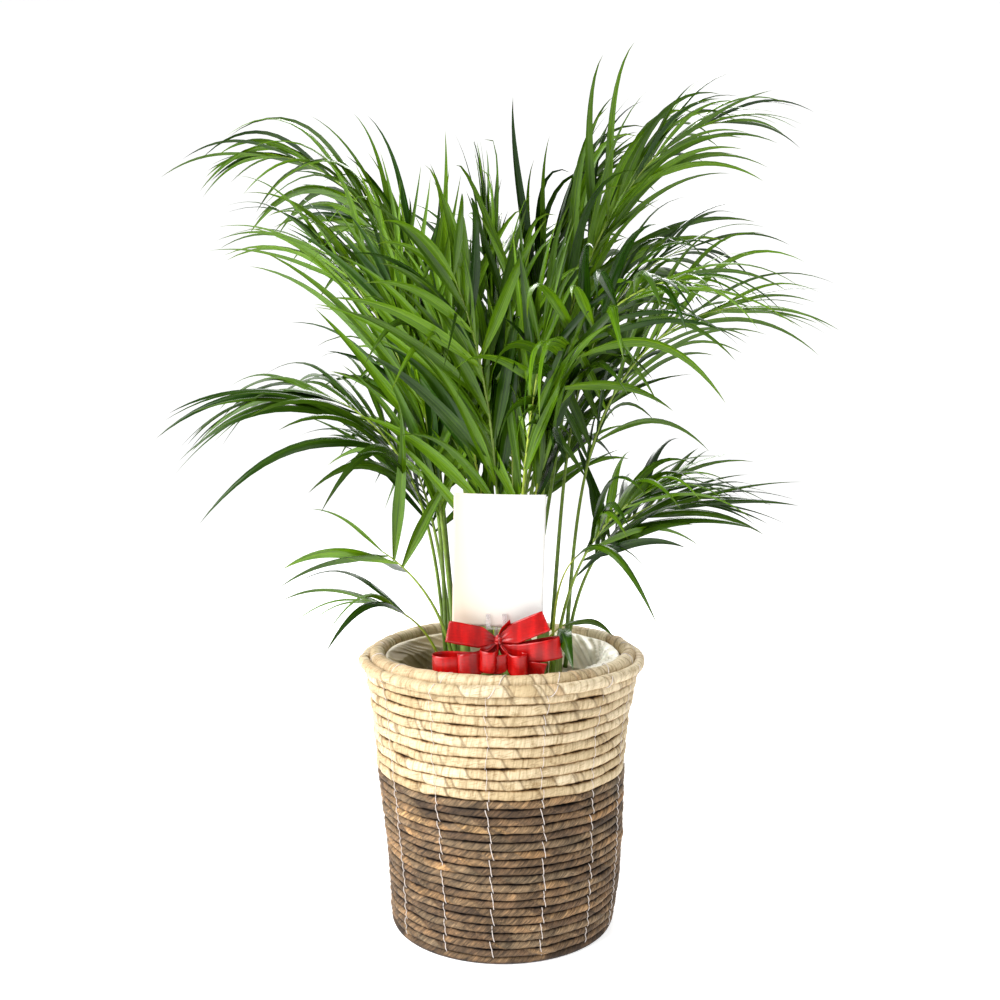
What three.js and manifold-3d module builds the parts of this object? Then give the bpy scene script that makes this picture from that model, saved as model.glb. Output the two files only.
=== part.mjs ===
// Potted areca palm: eight canes with arching feather fronds in a nursery pot, set in a
// coiled two-tone basket with a film liner, a ribbon bow and a blank gift card.
// Millimetres, +Z up, origin at the middle of the basket's flat underside, front towards -Y.
import * as THREE from 'three';
import { mergeVertices } from 'three/addons/utils/BufferGeometryUtils.js';
import Module from 'manifold-3d';

const wasm = await Module();
wasm.setup();

// Basket of coiled rows
const FOOT_RADIUS = 133;
const WALL_TOP_RADIUS = 156.5;
const WALL_TOP = 311;
const WALL_THICK = 11;
const WALL_SWELL = 0.8;
const BASE_THICK = 9.5;
const BROWN_ROWS = 19;
const NATURAL_ROWS = 10;
const BAND_SPLIT = 190;
const ROW_GROOVE = 1.6;
const RIM_RADIUS = 160;
const RIM_COIL = 8.7;
const GAP = 0.3;
const BASKET_SIDES = 28;

// Film liner, nursery pot and soil
const FILM = 1;
const LINER_TOP = 321;
const LINER_TOP_RADIUS = 143.6;
const LINER_SLUMP = 286;
const LINER_SLUMP_RADIUS = 120;
const POT_TOP = 252;
const POT_TOP_RADIUS = 118;
const POT_FOOT_RADIUS = 88;
const POT_WALL = 2.5;
const POT_LIP = 4;
const SOIL_TOP = 236;

// Gift card, its pick and the bow
const CARD = { width: 100, height: 148, thick: 0.8, bow: 4, x: -6, y: -92, z: 371, lean: 6, turn: 1.2 };
const PICK = { x: -7, bar: 5, thick: 2, span: 18, front: 16, back: 26, foot: 236.3, room: 2 };
const RIBBON = { width: 24, thick: 1.2 };
const KNOT = { x: -5, y: -107.5, z: 357, width: 15, depth: 13, height: 19 };

// Canes: place on the soil, height, lean from upright and heading of the lean
const STEM_FOOT = 10.5;
const STEM_HEAD = 6.5;
const STEM_FLARE = 2.5;
const STEM_SIDES = 9;
const STEMS = [
  { name: 'stem_left', x: -40, y: -16, height: 110, lean: 3, heading: 195 },
  { name: 'stem_back_left', x: -16, y: 26, height: 150, lean: 2, heading: 120 },
  { name: 'stem_front', x: 6, y: -34, height: 100, lean: 2, heading: 270 },
  { name: 'stem_right', x: 42, y: -14, height: 120, lean: 3, heading: -10 },
  { name: 'stem_back_right', x: 26, y: 38, height: 150, lean: 2, heading: 60 },
  { name: 'stem_centre', x: 0, y: -3, height: 170, lean: 1, heading: 90 },
  { name: 'stem_far_left', x: -52, y: 24, height: 100, lean: 4, heading: 160 },
  { name: 'stem_far_right', x: 60, y: 20, height: 100, lean: 4, heading: 10 },
];

// Fronds: the green of each, the cane it springs from and how high up, its heading, its lean at
// the foot, how far and how late it arches over, its length, its bare share, and its leaflets
const HABIT = {
  petiole: 0.38, pairs: 12, leaf: 220, width: 18, spread: 40, close: 15, droop: 0.25, lift: 16, roll: 0,
};
const FRONDS = [
  { name: 'left_arch', tone: 'mid', stem: 0, level: 0.95, heading: 168, lean: 5, arch: 80, bend: 3.8,
    length: 645, pairs: 14, leaf: 215, droop: 0.7, lift: 10, roll: 25, spread: 36 },
  { name: 'left_mid', tone: 'bright', stem: 6, level: 0.96, heading: 200, lean: 2, arch: 46, bend: 2,
    length: 490, leaf: 230, roll: 25, droop: 0.4 },
  { name: 'left_low', tone: 'deep', stem: 6, level: 0.7, heading: 172, lean: 5, arch: 98, bend: 2.4,
    length: 430, petiole: 0.44, pairs: 12, leaf: 240, width: 21, droop: 0.62, spread: 56, close: 20,
    lift: 2, roll: -10 },
  { name: 'left_small', tone: 'mid', stem: 0, level: 0.5, heading: 186, lean: 6, arch: 50, bend: 1.2,
    length: 180, petiole: 0.8, pairs: 2, leaf: 190, width: 22, spread: 62, close: 30, droop: 0.35,
    lift: 24, roll: 40 },
  { name: 'left_smaller', tone: 'mid', stem: 6, level: 0.3, heading: 204, lean: 9, arch: 60, bend: 1.4,
    length: 140, petiole: 0.8, pairs: 2, leaf: 190, width: 20, spread: 30, droop: 0.7 },
  { name: 'left_back', tone: 'deep', stem: 1, level: 0.7, heading: 150, lean: 5, arch: 36, bend: 1.8,
    length: 470, roll: -20, droop: 0.2, spread: 30 },
  { name: 'left_front', tone: 'bright', stem: 0, level: 0.7, heading: 205, lean: 5, arch: 14, bend: 1.9,
    length: 430, pairs: 11, roll: 60, droop: 0.15, spread: 20, close: 10, lift: 6 },
  { name: 'up_left', tone: 'bright', stem: 1, level: 0.96, heading: 176, lean: 4, arch: 40, bend: 2.4,
    length: 490, spread: 30, droop: 0.32, roll: 50, leaf: 205 },
  { name: 'up_middle', tone: 'fresh', stem: 5, level: 0.9, heading: 110, lean: 2, arch: 12, bend: 2.3,
    length: 440, leaf: 210, spread: 30, droop: 0.3, roll: 70 },
  { name: 'up_centre', tone: 'mid', stem: 5, level: 0.97, heading: 20, lean: 2, arch: 34, bend: 2.7,
    length: 490, pairs: 13, leaf: 205, spread: 28, droop: 0.35, roll: -50 },
  { name: 'up_front', tone: 'mid', stem: 2, level: 0.95, heading: 242, lean: 3, arch: 40, bend: 2.3,
    length: 440, leaf: 200, roll: 45, droop: 0.35, spread: 28, pairs: 9, width: 21 },
  { name: 'up_right', tone: 'mid', stem: 4, level: 0.96, heading: 14, lean: 9, arch: 70, bend: 4.2,
    length: 655, pairs: 14, leaf: 205, spread: 30, droop: 0.4, roll: -15 },
  { name: 'up_right_front', tone: 'fresh', stem: 5, level: 0.75, heading: -16, lean: 9, arch: 38,
    bend: 3.4, length: 560, pairs: 13, leaf: 215, spread: 28, droop: 0.35, roll: -40 },
  { name: 'up_back', tone: 'deep', stem: 1, level: 0.8, heading: 85, lean: 6, arch: 60, bend: 2,
    length: 560 },
  { name: 'right_arch', tone: 'deep', stem: 3, level: 0.95, heading: 12, lean: 4, arch: 74, bend: 3.4,
    length: 505, leaf: 190, spread: 56, close: 26, droop: 0.6, lift: 8, roll: -25, width: 15 },
  { name: 'right_mid', tone: 'mid', stem: 7, level: 0.95, heading: -14, lean: 4, arch: 86, bend: 2.7,
    length: 480, leaf: 205, spread: 52, droop: 0.45, lift: 12, roll: -15, width: 15 },
  { name: 'right_low', tone: 'deep', stem: 7, level: 0.6, heading: 12, lean: 6, arch: 90, bend: 1.7,
    length: 290, petiole: 0.46, pairs: 10, leaf: 175, width: 19, spread: 56, close: 20, droop: 0.3,
    roll: 10 },
  { name: 'right_low_front', tone: 'mid', stem: 3, level: 0.25, heading: -32, lean: 7, arch: 60,
    bend: 2, length: 300, petiole: 0.5, pairs: 9, leaf: 185, width: 19, spread: 54, close: 20,
    droop: 0.5, roll: -10 },
  { name: 'right_small', tone: 'mid', stem: 3, level: 0.45, heading: -15, lean: 2, arch: 56, bend: 3.6,
    length: 166, petiole: 0.88, pairs: 1, leaf: 172, width: 18, spread: 24, droop: 2.1, roll: 0,
    close: 24, lift: -10 },
  { name: 'right_back', tone: 'deep', stem: 4, level: 0.7, heading: 52, lean: 6, arch: 40, bend: 1.8,
    length: 450, roll: 20, spread: 30, droop: 0.25 },
  { name: 'right_front', tone: 'fresh', stem: 5, level: 0.6, heading: -50, lean: 7, arch: 84, bend: 2.2,
    length: 520, pairs: 11, leaf: 190, roll: 0, droop: 0.8, petiole: 0.55, spread: 60, close: 25 },
  { name: 'front_left', tone: 'fresh', stem: 2, level: 0.65, heading: 204, lean: 4, arch: 16, bend: 1.8,
    length: 400, pairs: 10, leaf: 200, roll: 60, droop: 0.2, spread: 22, close: 10 },
  { name: 'front_right', tone: 'mid', stem: 2, level: 0.5, heading: 296, lean: 4, arch: 18, bend: 1.8,
    length: 420, pairs: 10, leaf: 200, roll: -50, droop: 0.2, spread: 24, close: 10 },
  { name: 'centre_broad', tone: 'mid', stem: 2, level: 0.8, heading: 340, lean: 4, arch: 14, bend: 1.8,
    length: 300, petiole: 0.6, pairs: 4, leaf: 170, width: 36, spread: 30, droop: 0.3, close: 14 },
  { name: 'back_low', tone: 'deep', stem: 6, level: 0.6, heading: 112, lean: 14, arch: 66, bend: 1.4,
    length: 380, petiole: 0.45, pairs: 10, leaf: 210 },
  { name: 'back_low_right', tone: 'mid', stem: 4, level: 0.5, heading: 88, lean: 14, arch: 66,
    bend: 1.4, length: 380, petiole: 0.45, pairs: 10, leaf: 210 },
  { name: 'rim_leaf', tone: 'mid', stem: 2, level: 0.3, heading: -32, lean: 12, arch: 44, bend: 1.3,
    length: 124, petiole: 0.9, pairs: 1, leaf: 91, width: 27, droop: 0.9, spread: 58, close: 58,
    lift: 10, roll: 0 },
  { name: 'spear_centre', tone: 'spear', stem: 2, level: 0.9, heading: 60, lean: 1, arch: 4, bend: 2,
    length: 330, petiole: 1, pairs: 0 },
  { name: 'spear_back', tone: 'spear', stem: 4, level: 0.9, heading: 200, lean: 1, arch: 6, bend: 2,
    length: 400, petiole: 1, pairs: 0 },
];

// The frond rule
const SPINE_STEPS = 24;
const ROLL_IN = 0.35;
const RIB_STRIDE = 2;
const RIB_FOOT = 3.4;
const RIB_TIP = 1.1;
const RIB_SIDES = 3;
const LEAF_SHARE = 0.5;
const LEAF_STEPS = 8;
const LEAF_SECTIONS = [{ at: 2, wide: 0.92 }, { at: 5, wide: 0.9 }];
const LEAF_THICK_SHARE = 0.011;
const LEAF_ROOT = 1.2;
const HANG_OUT = 0.3;
const CLEAR = 0.45;
const TURNS = [
  { spread: 0, lift: 0, share: 1 },
  { spread: 4, lift: 7, share: 1 },
  { spread: -4, lift: -7, share: 1 },
  { spread: 8, lift: 13, share: 0.96 },
  { spread: -8, lift: -13, share: 0.96 },
  { spread: 3, lift: 20, share: 0.92 },
  { spread: -9, lift: -20, share: 0.9 },
  { spread: 12, lift: 30, share: 0.8 },
  { spread: 0, lift: 0, share: 0.62 },
  { spread: -10, lift: 12, share: 0.5 },
];

const rad = THREE.MathUtils.degToRad;
const up = new THREE.Vector3(0, 0, 1);
const finish = (color, roughness) => new THREE.MeshStandardMaterial({ color, roughness, metalness: 0 });
const finishes = {
  brown: finish(0x6b4524, 0.85),
  natural: finish(0xd9bc8c, 0.8),
  film: finish(0xb9b3a4, 0.35),
  pot: finish(0x2c2a28, 0.6),
  soil: finish(0x3a2a1c, 0.95),
  cane: finish(0x7c8c3a, 0.6),
  spear: finish(0xa4b53f, 0.5),
  mid: finish(0x2c5a1c, 0.5),
  fresh: finish(0x3d7a1f, 0.5),
  bright: finish(0x4f8f2a, 0.5),
  deep: finish(0x24472a, 0.5),
  card: finish(0xf6f1e6, 0.7),
  clear: finish(0xdfe6e6, 0.15),
  ribbon: finish(0xc4161c, 0.35),
};

// A number from 0 to 1 that depends only on k
function rand(k) {
  const v = Math.sin(k * 12.9898 + 78.233) * 43758.5453;
  return v - Math.floor(v);
}

function signedVolume(position, index) {
  const a = new THREE.Vector3();
  const b = new THREE.Vector3();
  const c = new THREE.Vector3();
  let sum = 0;
  for (let i = 0; i < index.length; i += 3) {
    a.fromBufferAttribute(position, index[i]);
    b.fromBufferAttribute(position, index[i + 1]);
    c.fromBufferAttribute(position, index[i + 2]);
    sum += a.dot(b.cross(c));
  }
  return sum;
}

// Merges shared corners, drops faces with no area and points every face outwards
function closed(geometry) {
  geometry.deleteAttribute('normal');
  geometry.deleteAttribute('uv');
  const merged = mergeVertices(geometry, 1e-4);
  const old = merged.index.array;
  const index = [];
  for (let i = 0; i < old.length; i += 3) {
    const [a, b, c] = [old[i], old[i + 1], old[i + 2]];
    if (a !== b && b !== c && c !== a) index.push(a, b, c);
  }
  if (signedVolume(merged.attributes.position, index) < 0) index.reverse();
  merged.setIndex(index);
  merged.computeVertexNormals();
  return merged;
}

// A closed geometry as a solid for cutting and joining, and back
function solid(geometry) {
  return new wasm.Manifold(new wasm.Mesh({
    numProp: 3,
    vertProperties: new Float32Array(geometry.attributes.position.array),
    triVerts: new Uint32Array(geometry.index.array),
  }));
}

function geometryOf(body) {
  const mesh = body.getMesh();
  const geometry = new THREE.BufferGeometry();
  geometry.setAttribute('position', new THREE.BufferAttribute(mesh.vertProperties, 3));
  geometry.setIndex(new THREE.BufferAttribute(mesh.triVerts, 1));
  geometry.computeVertexNormals();
  return geometry;
}

// Joins solids into one, without loose scraps or sealed hollows
function fuse(bodies) {
  let whole = bodies[0];
  for (const body of bodies.slice(1)) whole = whole.add(body);
  const pieces = whole.decompose();
  pieces.sort((a, b) => b.volume() - a.volume());
  return pieces[0];
}

function revolve(profile, sides = BASKET_SIDES) {
  const points = profile.map(([r, z]) => new THREE.Vector2(r, z));
  return closed(new THREE.LatheGeometry(points, sides).rotateX(Math.PI / 2));
}

function block(width, depth, height, x, y, z) {
  return closed(new THREE.BoxGeometry(width, depth, height).translate(x, y, z));
}

// Skins a row of rings that have the same number of corners, with flat ends
function skin(rings) {
  const corners = rings.flat();
  const sides = rings[0].length;
  const index = [];
  for (let j = 0; j + 1 < rings.length; j += 1) {
    for (let i = 0; i < sides; i += 1) {
      const a = j * sides + i;
      const b = j * sides + ((i + 1) % sides);
      index.push(a, b, a + sides, b, b + sides, a + sides);
    }
  }
  const last = (rings.length - 1) * sides;
  for (let i = 1; i + 1 < sides; i += 1) index.push(0, i + 1, i, last, last + i, last + i + 1);
  const geometry = new THREE.BufferGeometry().setFromPoints(corners);
  geometry.setIndex(index);
  return closed(geometry);
}

// Basket
function wallRadius(z) {
  return FOOT_RADIUS + (WALL_TOP_RADIUS - FOOT_RADIUS) * (z / WALL_TOP) ** WALL_SWELL;
}

// One band of coiled rows, each row a shallow scallop between two grooves
function band(bottom, top, rows) {
  const pitch = (top - bottom) / rows;
  const profile = [[wallRadius(bottom) - WALL_THICK, bottom], [wallRadius(bottom) - ROW_GROOVE, bottom]];
  for (let i = 0; i < rows; i += 1) {
    const low = bottom + i * pitch;
    const groove = i + 1 < rows ? ROW_GROOVE : 0;
    profile.push([wallRadius(low + pitch / 2), low + pitch / 2]);
    profile.push([wallRadius(low + pitch) - groove, low + pitch]);
  }
  profile.push([wallRadius(top) - WALL_THICK, top]);
  profile.push(profile[0]);
  return revolve(profile);
}

// The thick coil that finishes the wall, flat where it sits on the last row
function rimCoil() {
  const profile = [];
  const sides = 8;
  const middle = WALL_TOP + GAP + RIM_COIL;
  const corner = RIM_COIL / Math.cos(Math.PI / sides);
  for (let i = 0; i <= sides; i += 1) {
    const turn = (((i % sides) + 0.5) / sides) * 2 * Math.PI;
    profile.push([RIM_RADIUS + corner * Math.cos(turn), middle + corner * Math.sin(turn)]);
  }
  return revolve(profile);
}

function basketBase() {
  const rounding = 2;
  return revolve([
    [0, 0], [FOOT_RADIUS - rounding, 0], [FOOT_RADIUS, rounding],
    [FOOT_RADIUS, BASE_THICK - rounding], [FOOT_RADIUS - rounding, BASE_THICK], [0, BASE_THICK],
  ]);
}

// The film stands up the wall, turns over inside the rim and slumps towards the pot
function liner() {
  const floor = BASE_THICK + GAP;
  const wall = (z) => wallRadius(z) - WALL_THICK - 2 * GAP;
  const foot = [wall(floor), floor];
  const shoulder = [wall(WALL_TOP - 20), WALL_TOP - 20];
  const lip = [LINER_TOP_RADIUS, LINER_TOP];
  const slump = [LINER_SLUMP_RADIUS, LINER_SLUMP];
  return revolve([
    [0, floor], foot, shoulder, lip, [slump[0], slump[1] + FILM], slump,
    [lip[0] - 2 * FILM, lip[1] - 2 * FILM], [shoulder[0] - FILM, shoulder[1]],
    [foot[0] - FILM, floor + FILM], [0, floor + FILM],
  ]);
}

const POT_FLOOR = BASE_THICK + FILM + 2 * GAP;

function potRadius(z) {
  const rise = (z - POT_FLOOR) / (POT_TOP - POT_FLOOR);
  return POT_FOOT_RADIUS + (POT_TOP_RADIUS - POT_FOOT_RADIUS) * rise;
}

function nurseryPot() {
  const inner = (z) => potRadius(z) - POT_WALL;
  const lipFoot = POT_TOP - 3 * POT_LIP;
  return revolve([
    [0, POT_FLOOR], [POT_FOOT_RADIUS, POT_FLOOR], [potRadius(lipFoot), lipFoot],
    [potRadius(lipFoot) + POT_LIP, lipFoot], [POT_TOP_RADIUS + POT_LIP, POT_TOP],
    [inner(POT_TOP), POT_TOP], [inner(POT_FLOOR + POT_WALL), POT_FLOOR + POT_WALL],
    [0, POT_FLOOR + POT_WALL],
  ]);
}

function soil() {
  const floor = POT_FLOOR + POT_WALL + GAP;
  const edge = (z) => potRadius(z) - POT_WALL - 2 * GAP;
  return revolve([[0, floor], [edge(floor), floor], [edge(SOIL_TOP), SOIL_TOP], [0, SOIL_TOP]]);
}

// Gift card: a gently curved sheet that leans forward a little
function giftCard() {
  const steps = 8;
  const arc = (x) => CARD.bow * (1 - (2 * x / CARD.width) ** 2);
  const outline = new THREE.Shape();
  for (let i = 0; i <= steps; i += 1) {
    const x = CARD.width * (i / steps - 0.5);
    if (i === 0) outline.moveTo(x, -arc(x));
    else outline.lineTo(x, -arc(x));
  }
  for (let i = steps; i >= 0; i -= 1) {
    const x = CARD.width * (i / steps - 0.5);
    outline.lineTo(x, CARD.thick - arc(x));
  }
  return closed(new THREE.ExtrudeGeometry(outline, { depth: CARD.height, bevelEnabled: false }));
}

// Clear pick: a stake in the soil with a ledge, two short front fingers and one back finger
function cardPick() {
  const ledge = CARD.z - 3 * GAP - PICK.thick / 2;
  const front = CARD.y - CARD.bow - PICK.room - GAP - PICK.thick / 2;
  const back = CARD.y - CARD.bow + CARD.thick + GAP + PICK.thick / 2;
  const stake = ledge - PICK.foot + PICK.thick / 2;
  const finger = (x, y, height) => block(PICK.bar, PICK.thick, height, x, y, ledge + height / 2);
  const depth = back - front + PICK.thick;
  return geometryOf(fuse([
    block(PICK.bar, PICK.thick, stake, PICK.x, back, PICK.foot + stake / 2),
    block(PICK.span + PICK.bar, depth, PICK.thick, PICK.x, (front + back) / 2, ledge),
    finger(PICK.x - PICK.span / 2, front, PICK.front),
    finger(PICK.x + PICK.span / 2, front, PICK.front),
    finger(PICK.x, back, PICK.back),
  ].map(solid)));
}

// One ribbon loop: a strip on edge that runs out along a teardrop and back into the knot
function ribbonLoop({ reach, fat, heading, rise, twist = 0 }) {
  const steps = 10;
  const point = (turn) => {
    const along = (1 - Math.cos(turn)) / 2;
    const across = Math.sin(turn) * along ** 0.8 * fat + Math.cos(turn / 2);
    return new THREE.Vector3(1 + along * (reach - 1), across, 0);
  };
  const rings = [];
  for (let i = 0; i <= steps; i += 1) {
    const turn = 0.4 + (i / steps) * (2 * Math.PI - 0.8);
    const middle = point(turn);
    const along = point(turn + 0.02).sub(point(turn - 0.02)).normalize();
    const thick = new THREE.Vector3().crossVectors(up, along).multiplyScalar(RIBBON.thick / 2);
    const half = (RIBBON.width / 2) * Math.min(1, 0.1 + middle.x / 18);
    rings.push([[-1, -half], [1, -half], [1, half], [-1, half]]
      .map(([a, z]) => middle.clone().addScaledVector(thick, a).addScaledVector(up, z)));
  }
  const strip = skin(rings);
  strip.rotateX(rad(twist)).rotateY(rad(-rise)).rotateZ(rad(heading));
  return strip.translate(KNOT.x, KNOT.y, KNOT.z);
}

const BOW_LOOPS = [
  { reach: 64, fat: 6, heading: 187, rise: 18, twist: 40 },
  { reach: 60, fat: 6, heading: -9, rise: 28, twist: -40 },
  { reach: 76, fat: 8, heading: 194, rise: -14 },
  { reach: 66, fat: 8, heading: -16, rise: -6 },
  { reach: 54, fat: 7, heading: 212, rise: -16 },
  { reach: 36, fat: 7, heading: 238, rise: -18 },
  { reach: 36, fat: 7, heading: -44, rise: -18 },
];

function ribbonBow() {
  const knot = closed(new THREE.SphereGeometry(1, 8, 6)
    .scale(KNOT.width / 2, KNOT.depth / 2, KNOT.height / 2)
    .translate(KNOT.x, KNOT.y, KNOT.z));
  return geometryOf(fuse([knot, ...BOW_LOOPS.map(ribbonLoop)].map(solid)));
}

// Canes
function stemRadius(level) {
  return THREE.MathUtils.lerp(STEM_FOOT, STEM_HEAD, level) + STEM_FLARE * (1 - level) ** 8;
}

function stemPoint(stem, level) {
  const out = stem.height * Math.tan(rad(stem.lean)) * level;
  const heading = rad(stem.heading);
  return new THREE.Vector3(
    stem.x + Math.cos(heading) * out,
    stem.y + Math.sin(heading) * out,
    SOIL_TOP + GAP + stem.height * level,
  );
}

function cane(stem) {
  const rings = [0, 0.06, 0.2, 0.6, 1].map((level) => {
    const middle = stemPoint(stem, level);
    const ring = [];
    for (let i = 0; i < STEM_SIDES; i += 1) {
      const turn = (i / STEM_SIDES) * 2 * Math.PI;
      const r = stemRadius(level);
      ring.push(new THREE.Vector3(Math.cos(turn) * r, Math.sin(turn) * r, 0).add(middle));
    }
    return ring;
  });
  return skin(rings);
}

// Direction along the spine, across it and towards its upper side, at a share s of its length;
// the frond rolls to its side in its lower third
function spineFrame(frond, s) {
  const lean = rad(frond.lean + frond.arch * s ** frond.bend);
  const heading = rad(frond.heading);
  const along = new THREE.Vector3(
    Math.sin(lean) * Math.cos(heading),
    Math.sin(lean) * Math.sin(heading),
    Math.cos(lean),
  );
  const across = new THREE.Vector3(-Math.sin(heading), Math.cos(heading), 0);
  const top = new THREE.Vector3().crossVectors(along, across);
  const roll = rad(frond.roll * Math.min(1, s / ROLL_IN));
  const side = across.clone().multiplyScalar(Math.cos(roll)).addScaledVector(top, Math.sin(roll));
  top.multiplyScalar(Math.cos(roll)).addScaledVector(across, -Math.sin(roll));
  return { along, side, top };
}

function frondFoot(frond) {
  const stem = STEMS[frond.stem];
  const heading = rad(frond.heading);
  const out = stemRadius(frond.level) + RIB_FOOT + CLEAR;
  return stemPoint(stem, frond.level)
    .add(new THREE.Vector3(Math.cos(heading) * out, Math.sin(heading) * out, 0));
}

function spine(frond) {
  const points = [frondFoot(frond)];
  for (let i = 0; i < SPINE_STEPS; i += 1) {
    const { along } = spineFrame(frond, (i + 0.5) / SPINE_STEPS);
    points.push(points[i].clone().addScaledVector(along, frond.length / SPINE_STEPS));
  }
  return points.filter((point, i) => i % RIB_STRIDE === 0);
}

function pointOn(points, s) {
  const place = Math.min(s, 0.9999) * (points.length - 1);
  const i = Math.floor(place);
  return points[i].clone().lerp(points[i + 1], place - i);
}

// The rib: petiole and rachis as one tapering three-sided rod
function rib(frond, points) {
  const rings = points.map((point, j) => {
    const s = j / (points.length - 1);
    const r = THREE.MathUtils.lerp(RIB_FOOT, RIB_TIP, s);
    const { side, top } = spineFrame(frond, s);
    const ring = [];
    for (let i = 0; i < RIB_SIDES; i += 1) {
      const turn = Math.PI / 2 + (i / RIB_SIDES) * 2 * Math.PI;
      const corner = point.clone().addScaledVector(side, Math.cos(turn) * r);
      ring.push(corner.addScaledVector(top, Math.sin(turn) * r));
    }
    return ring;
  });
  return skin(rings);
}

// Where one leaflet starts and points, and its length, width and droop
function leaflet(frond, index, points, pairs, i, hand, turn) {
  const k = index * 101 + i * 7 + (hand > 0 ? 3 : 0);
  const place = (i + 0.25 + 0.22 * hand + 0.2 * (rand(k) - 0.5)) / (pairs - 0.5);
  const t = THREE.MathUtils.clamp(place, 0, 1);
  const s = frond.petiole + (1 - frond.petiole) * t;
  const { along, side, top } = spineFrame(frond, s);
  const shape = 1 - 1.05 * (t - 0.36) ** 2;
  const open = frond.spread * (1 - t) + frond.close * t + 34 * (rand(k + 2) - 0.5) + turn.spread;
  const lift = frond.lift * (1 - 0.6 * t) + 46 * (rand(k + 3) - 0.5) + turn.lift;
  const way = side.multiplyScalar(hand * Math.cos(rad(lift))).addScaledVector(top, Math.sin(rad(lift)));
  way.multiplyScalar(Math.sin(rad(open))).addScaledVector(along, Math.cos(rad(open)));
  const flat = along.clone().addScaledVector(way, -along.dot(way)).normalize();
  return {
    base: pointOn(points, s),
    way,
    flat,
    length: frond.leaf * shape * (0.8 + 0.4 * rand(k + 1)) * turn.share,
    width: frond.width * Math.sqrt(shape) * (0.85 + 0.3 * rand(k + 5)),
    droop: frond.droop * (0.5 + 1.0 * rand(k + 4)),
    pull: new THREE.Vector3(Math.cos(rad(frond.heading)), Math.sin(rad(frond.heading)), 0)
      .multiplyScalar(HANG_OUT).sub(up),
  };
}

// A thin blade with a keel, bent down along its length; spare fattens it for the clearance test
function blade({ base, way, flat, length, width, droop, pull }, spare) {
  const line = [base.clone().addScaledVector(way, -LEAF_ROOT)];
  for (let i = 0; i < LEAF_STEPS; i += 1) {
    const u = (i + 0.5) / LEAF_STEPS;
    const step = way.clone().addScaledVector(pull, 2.4 * droop * u ** 1.8).normalize();
    line.push(line[i].clone().addScaledVector(step, (length + 4 * spare) / LEAF_STEPS));
  }
  const thick = length * LEAF_THICK_SHARE;
  const side = flat.clone();
  const corners = [line[0]];
  const stops = [0, ...LEAF_SECTIONS.map(({ at }) => at), LEAF_STEPS];
  LEAF_SECTIONS.forEach(({ at, wide }, i) => {
    const before = line[at].clone().sub(line[stops[i]]).normalize();
    const after = line[stops[i + 2]].clone().sub(line[at]).normalize();
    const run = before.add(after).normalize();
    side.addScaledVector(run, -side.dot(run)).normalize();
    const over = new THREE.Vector3().crossVectors(run, side);
    const half = (width * wide) / 2 + 2 * spare;
    corners.push(line[at].clone().addScaledVector(side, half).addScaledVector(over, spare));
    corners.push(line[at].clone().addScaledVector(side, -half).addScaledVector(over, spare));
    corners.push(line[at].clone().addScaledVector(over, -thick - spare));
  });
  corners.push(line[LEAF_STEPS]);
  const index = [];
  for (let i = 0; i < 3; i += 1) {
    const [a, b] = [1 + i, 1 + ((i + 1) % 3)];
    index.push(0, b, a, a, b, a + 3, b, b + 3, a + 3, a + 3, b + 3, 7);
  }
  const geometry = new THREE.BufferGeometry().setFromPoints(corners);
  geometry.setIndex(index);
  return solid(closed(geometry));
}

// Fuses onto a rib every leaflet that clears all other solids, turned aside where that helps
function leafyRib(frond, index, points, body, others) {
  const parts = [body];
  const pairs = Math.ceil(frond.pairs * LEAF_SHARE);
  for (let i = 0; i < pairs; i += 1) {
    for (const hand of [-1, 1]) {
      const fit = TURNS.map((turn) => leaflet(frond, index, points, pairs, i, hand, turn))
        .find((leaf) => blade(leaf, CLEAR).intersect(others).isEmpty());
      if (fit) parts.push(blade(fit, 0));
    }
  }
  return fuse(parts);
}

const plant = new THREE.Group();

function place(name, geometry, material) {
  const mesh = new THREE.Mesh(geometry, material);
  mesh.name = name;
  plant.add(mesh);
  return mesh;
}

place('basket_base', basketBase(), finishes.brown);
place('basket_brown_band', band(BASE_THICK + GAP, BAND_SPLIT - GAP, BROWN_ROWS), finishes.brown);
place('basket_natural_band', band(BAND_SPLIT, WALL_TOP, NATURAL_ROWS), finishes.natural);
place('basket_rim', rimCoil(), finishes.natural);
place('liner', liner(), finishes.film);
place('nursery_pot', nurseryPot(), finishes.pot);
place('soil', soil(), finishes.soil);
place('card_pick', cardPick(), finishes.clear);
place('bow', ribbonBow(), finishes.ribbon);
const card = giftCard().rotateX(rad(CARD.lean)).rotateY(rad(CARD.turn)).translate(CARD.x, CARD.y, CARD.z);
place('gift_card', card, finishes.card);
STEMS.forEach((stem) => place(stem.name, cane(stem), finishes.cane));

const fixed = plant.children.map((mesh) => solid(mesh.geometry));
const fronds = FRONDS.map((frond, index) => {
  const whole = { ...HABIT, ...frond };
  const points = spine(whole);
  return { frond: whole, index, points, body: solid(rib(whole, points)) };
});
fronds.forEach((entry) => {
  const others = fronds.filter((other) => other !== entry).map((other) => other.body);
  const around = wasm.Manifold.compose([...fixed, ...others]);
  entry.body = leafyRib(entry.frond, entry.index, entry.points, entry.body, around);
  const name = entry.frond.pairs ? `frond_${entry.frond.name}` : entry.frond.name;
  place(name, geometryOf(entry.body), finishes[entry.frond.tone]);
});

export default plant;
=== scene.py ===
import math
import random

import bmesh
import bpy
import numpy as np
from mathutils import Matrix, Vector


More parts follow.
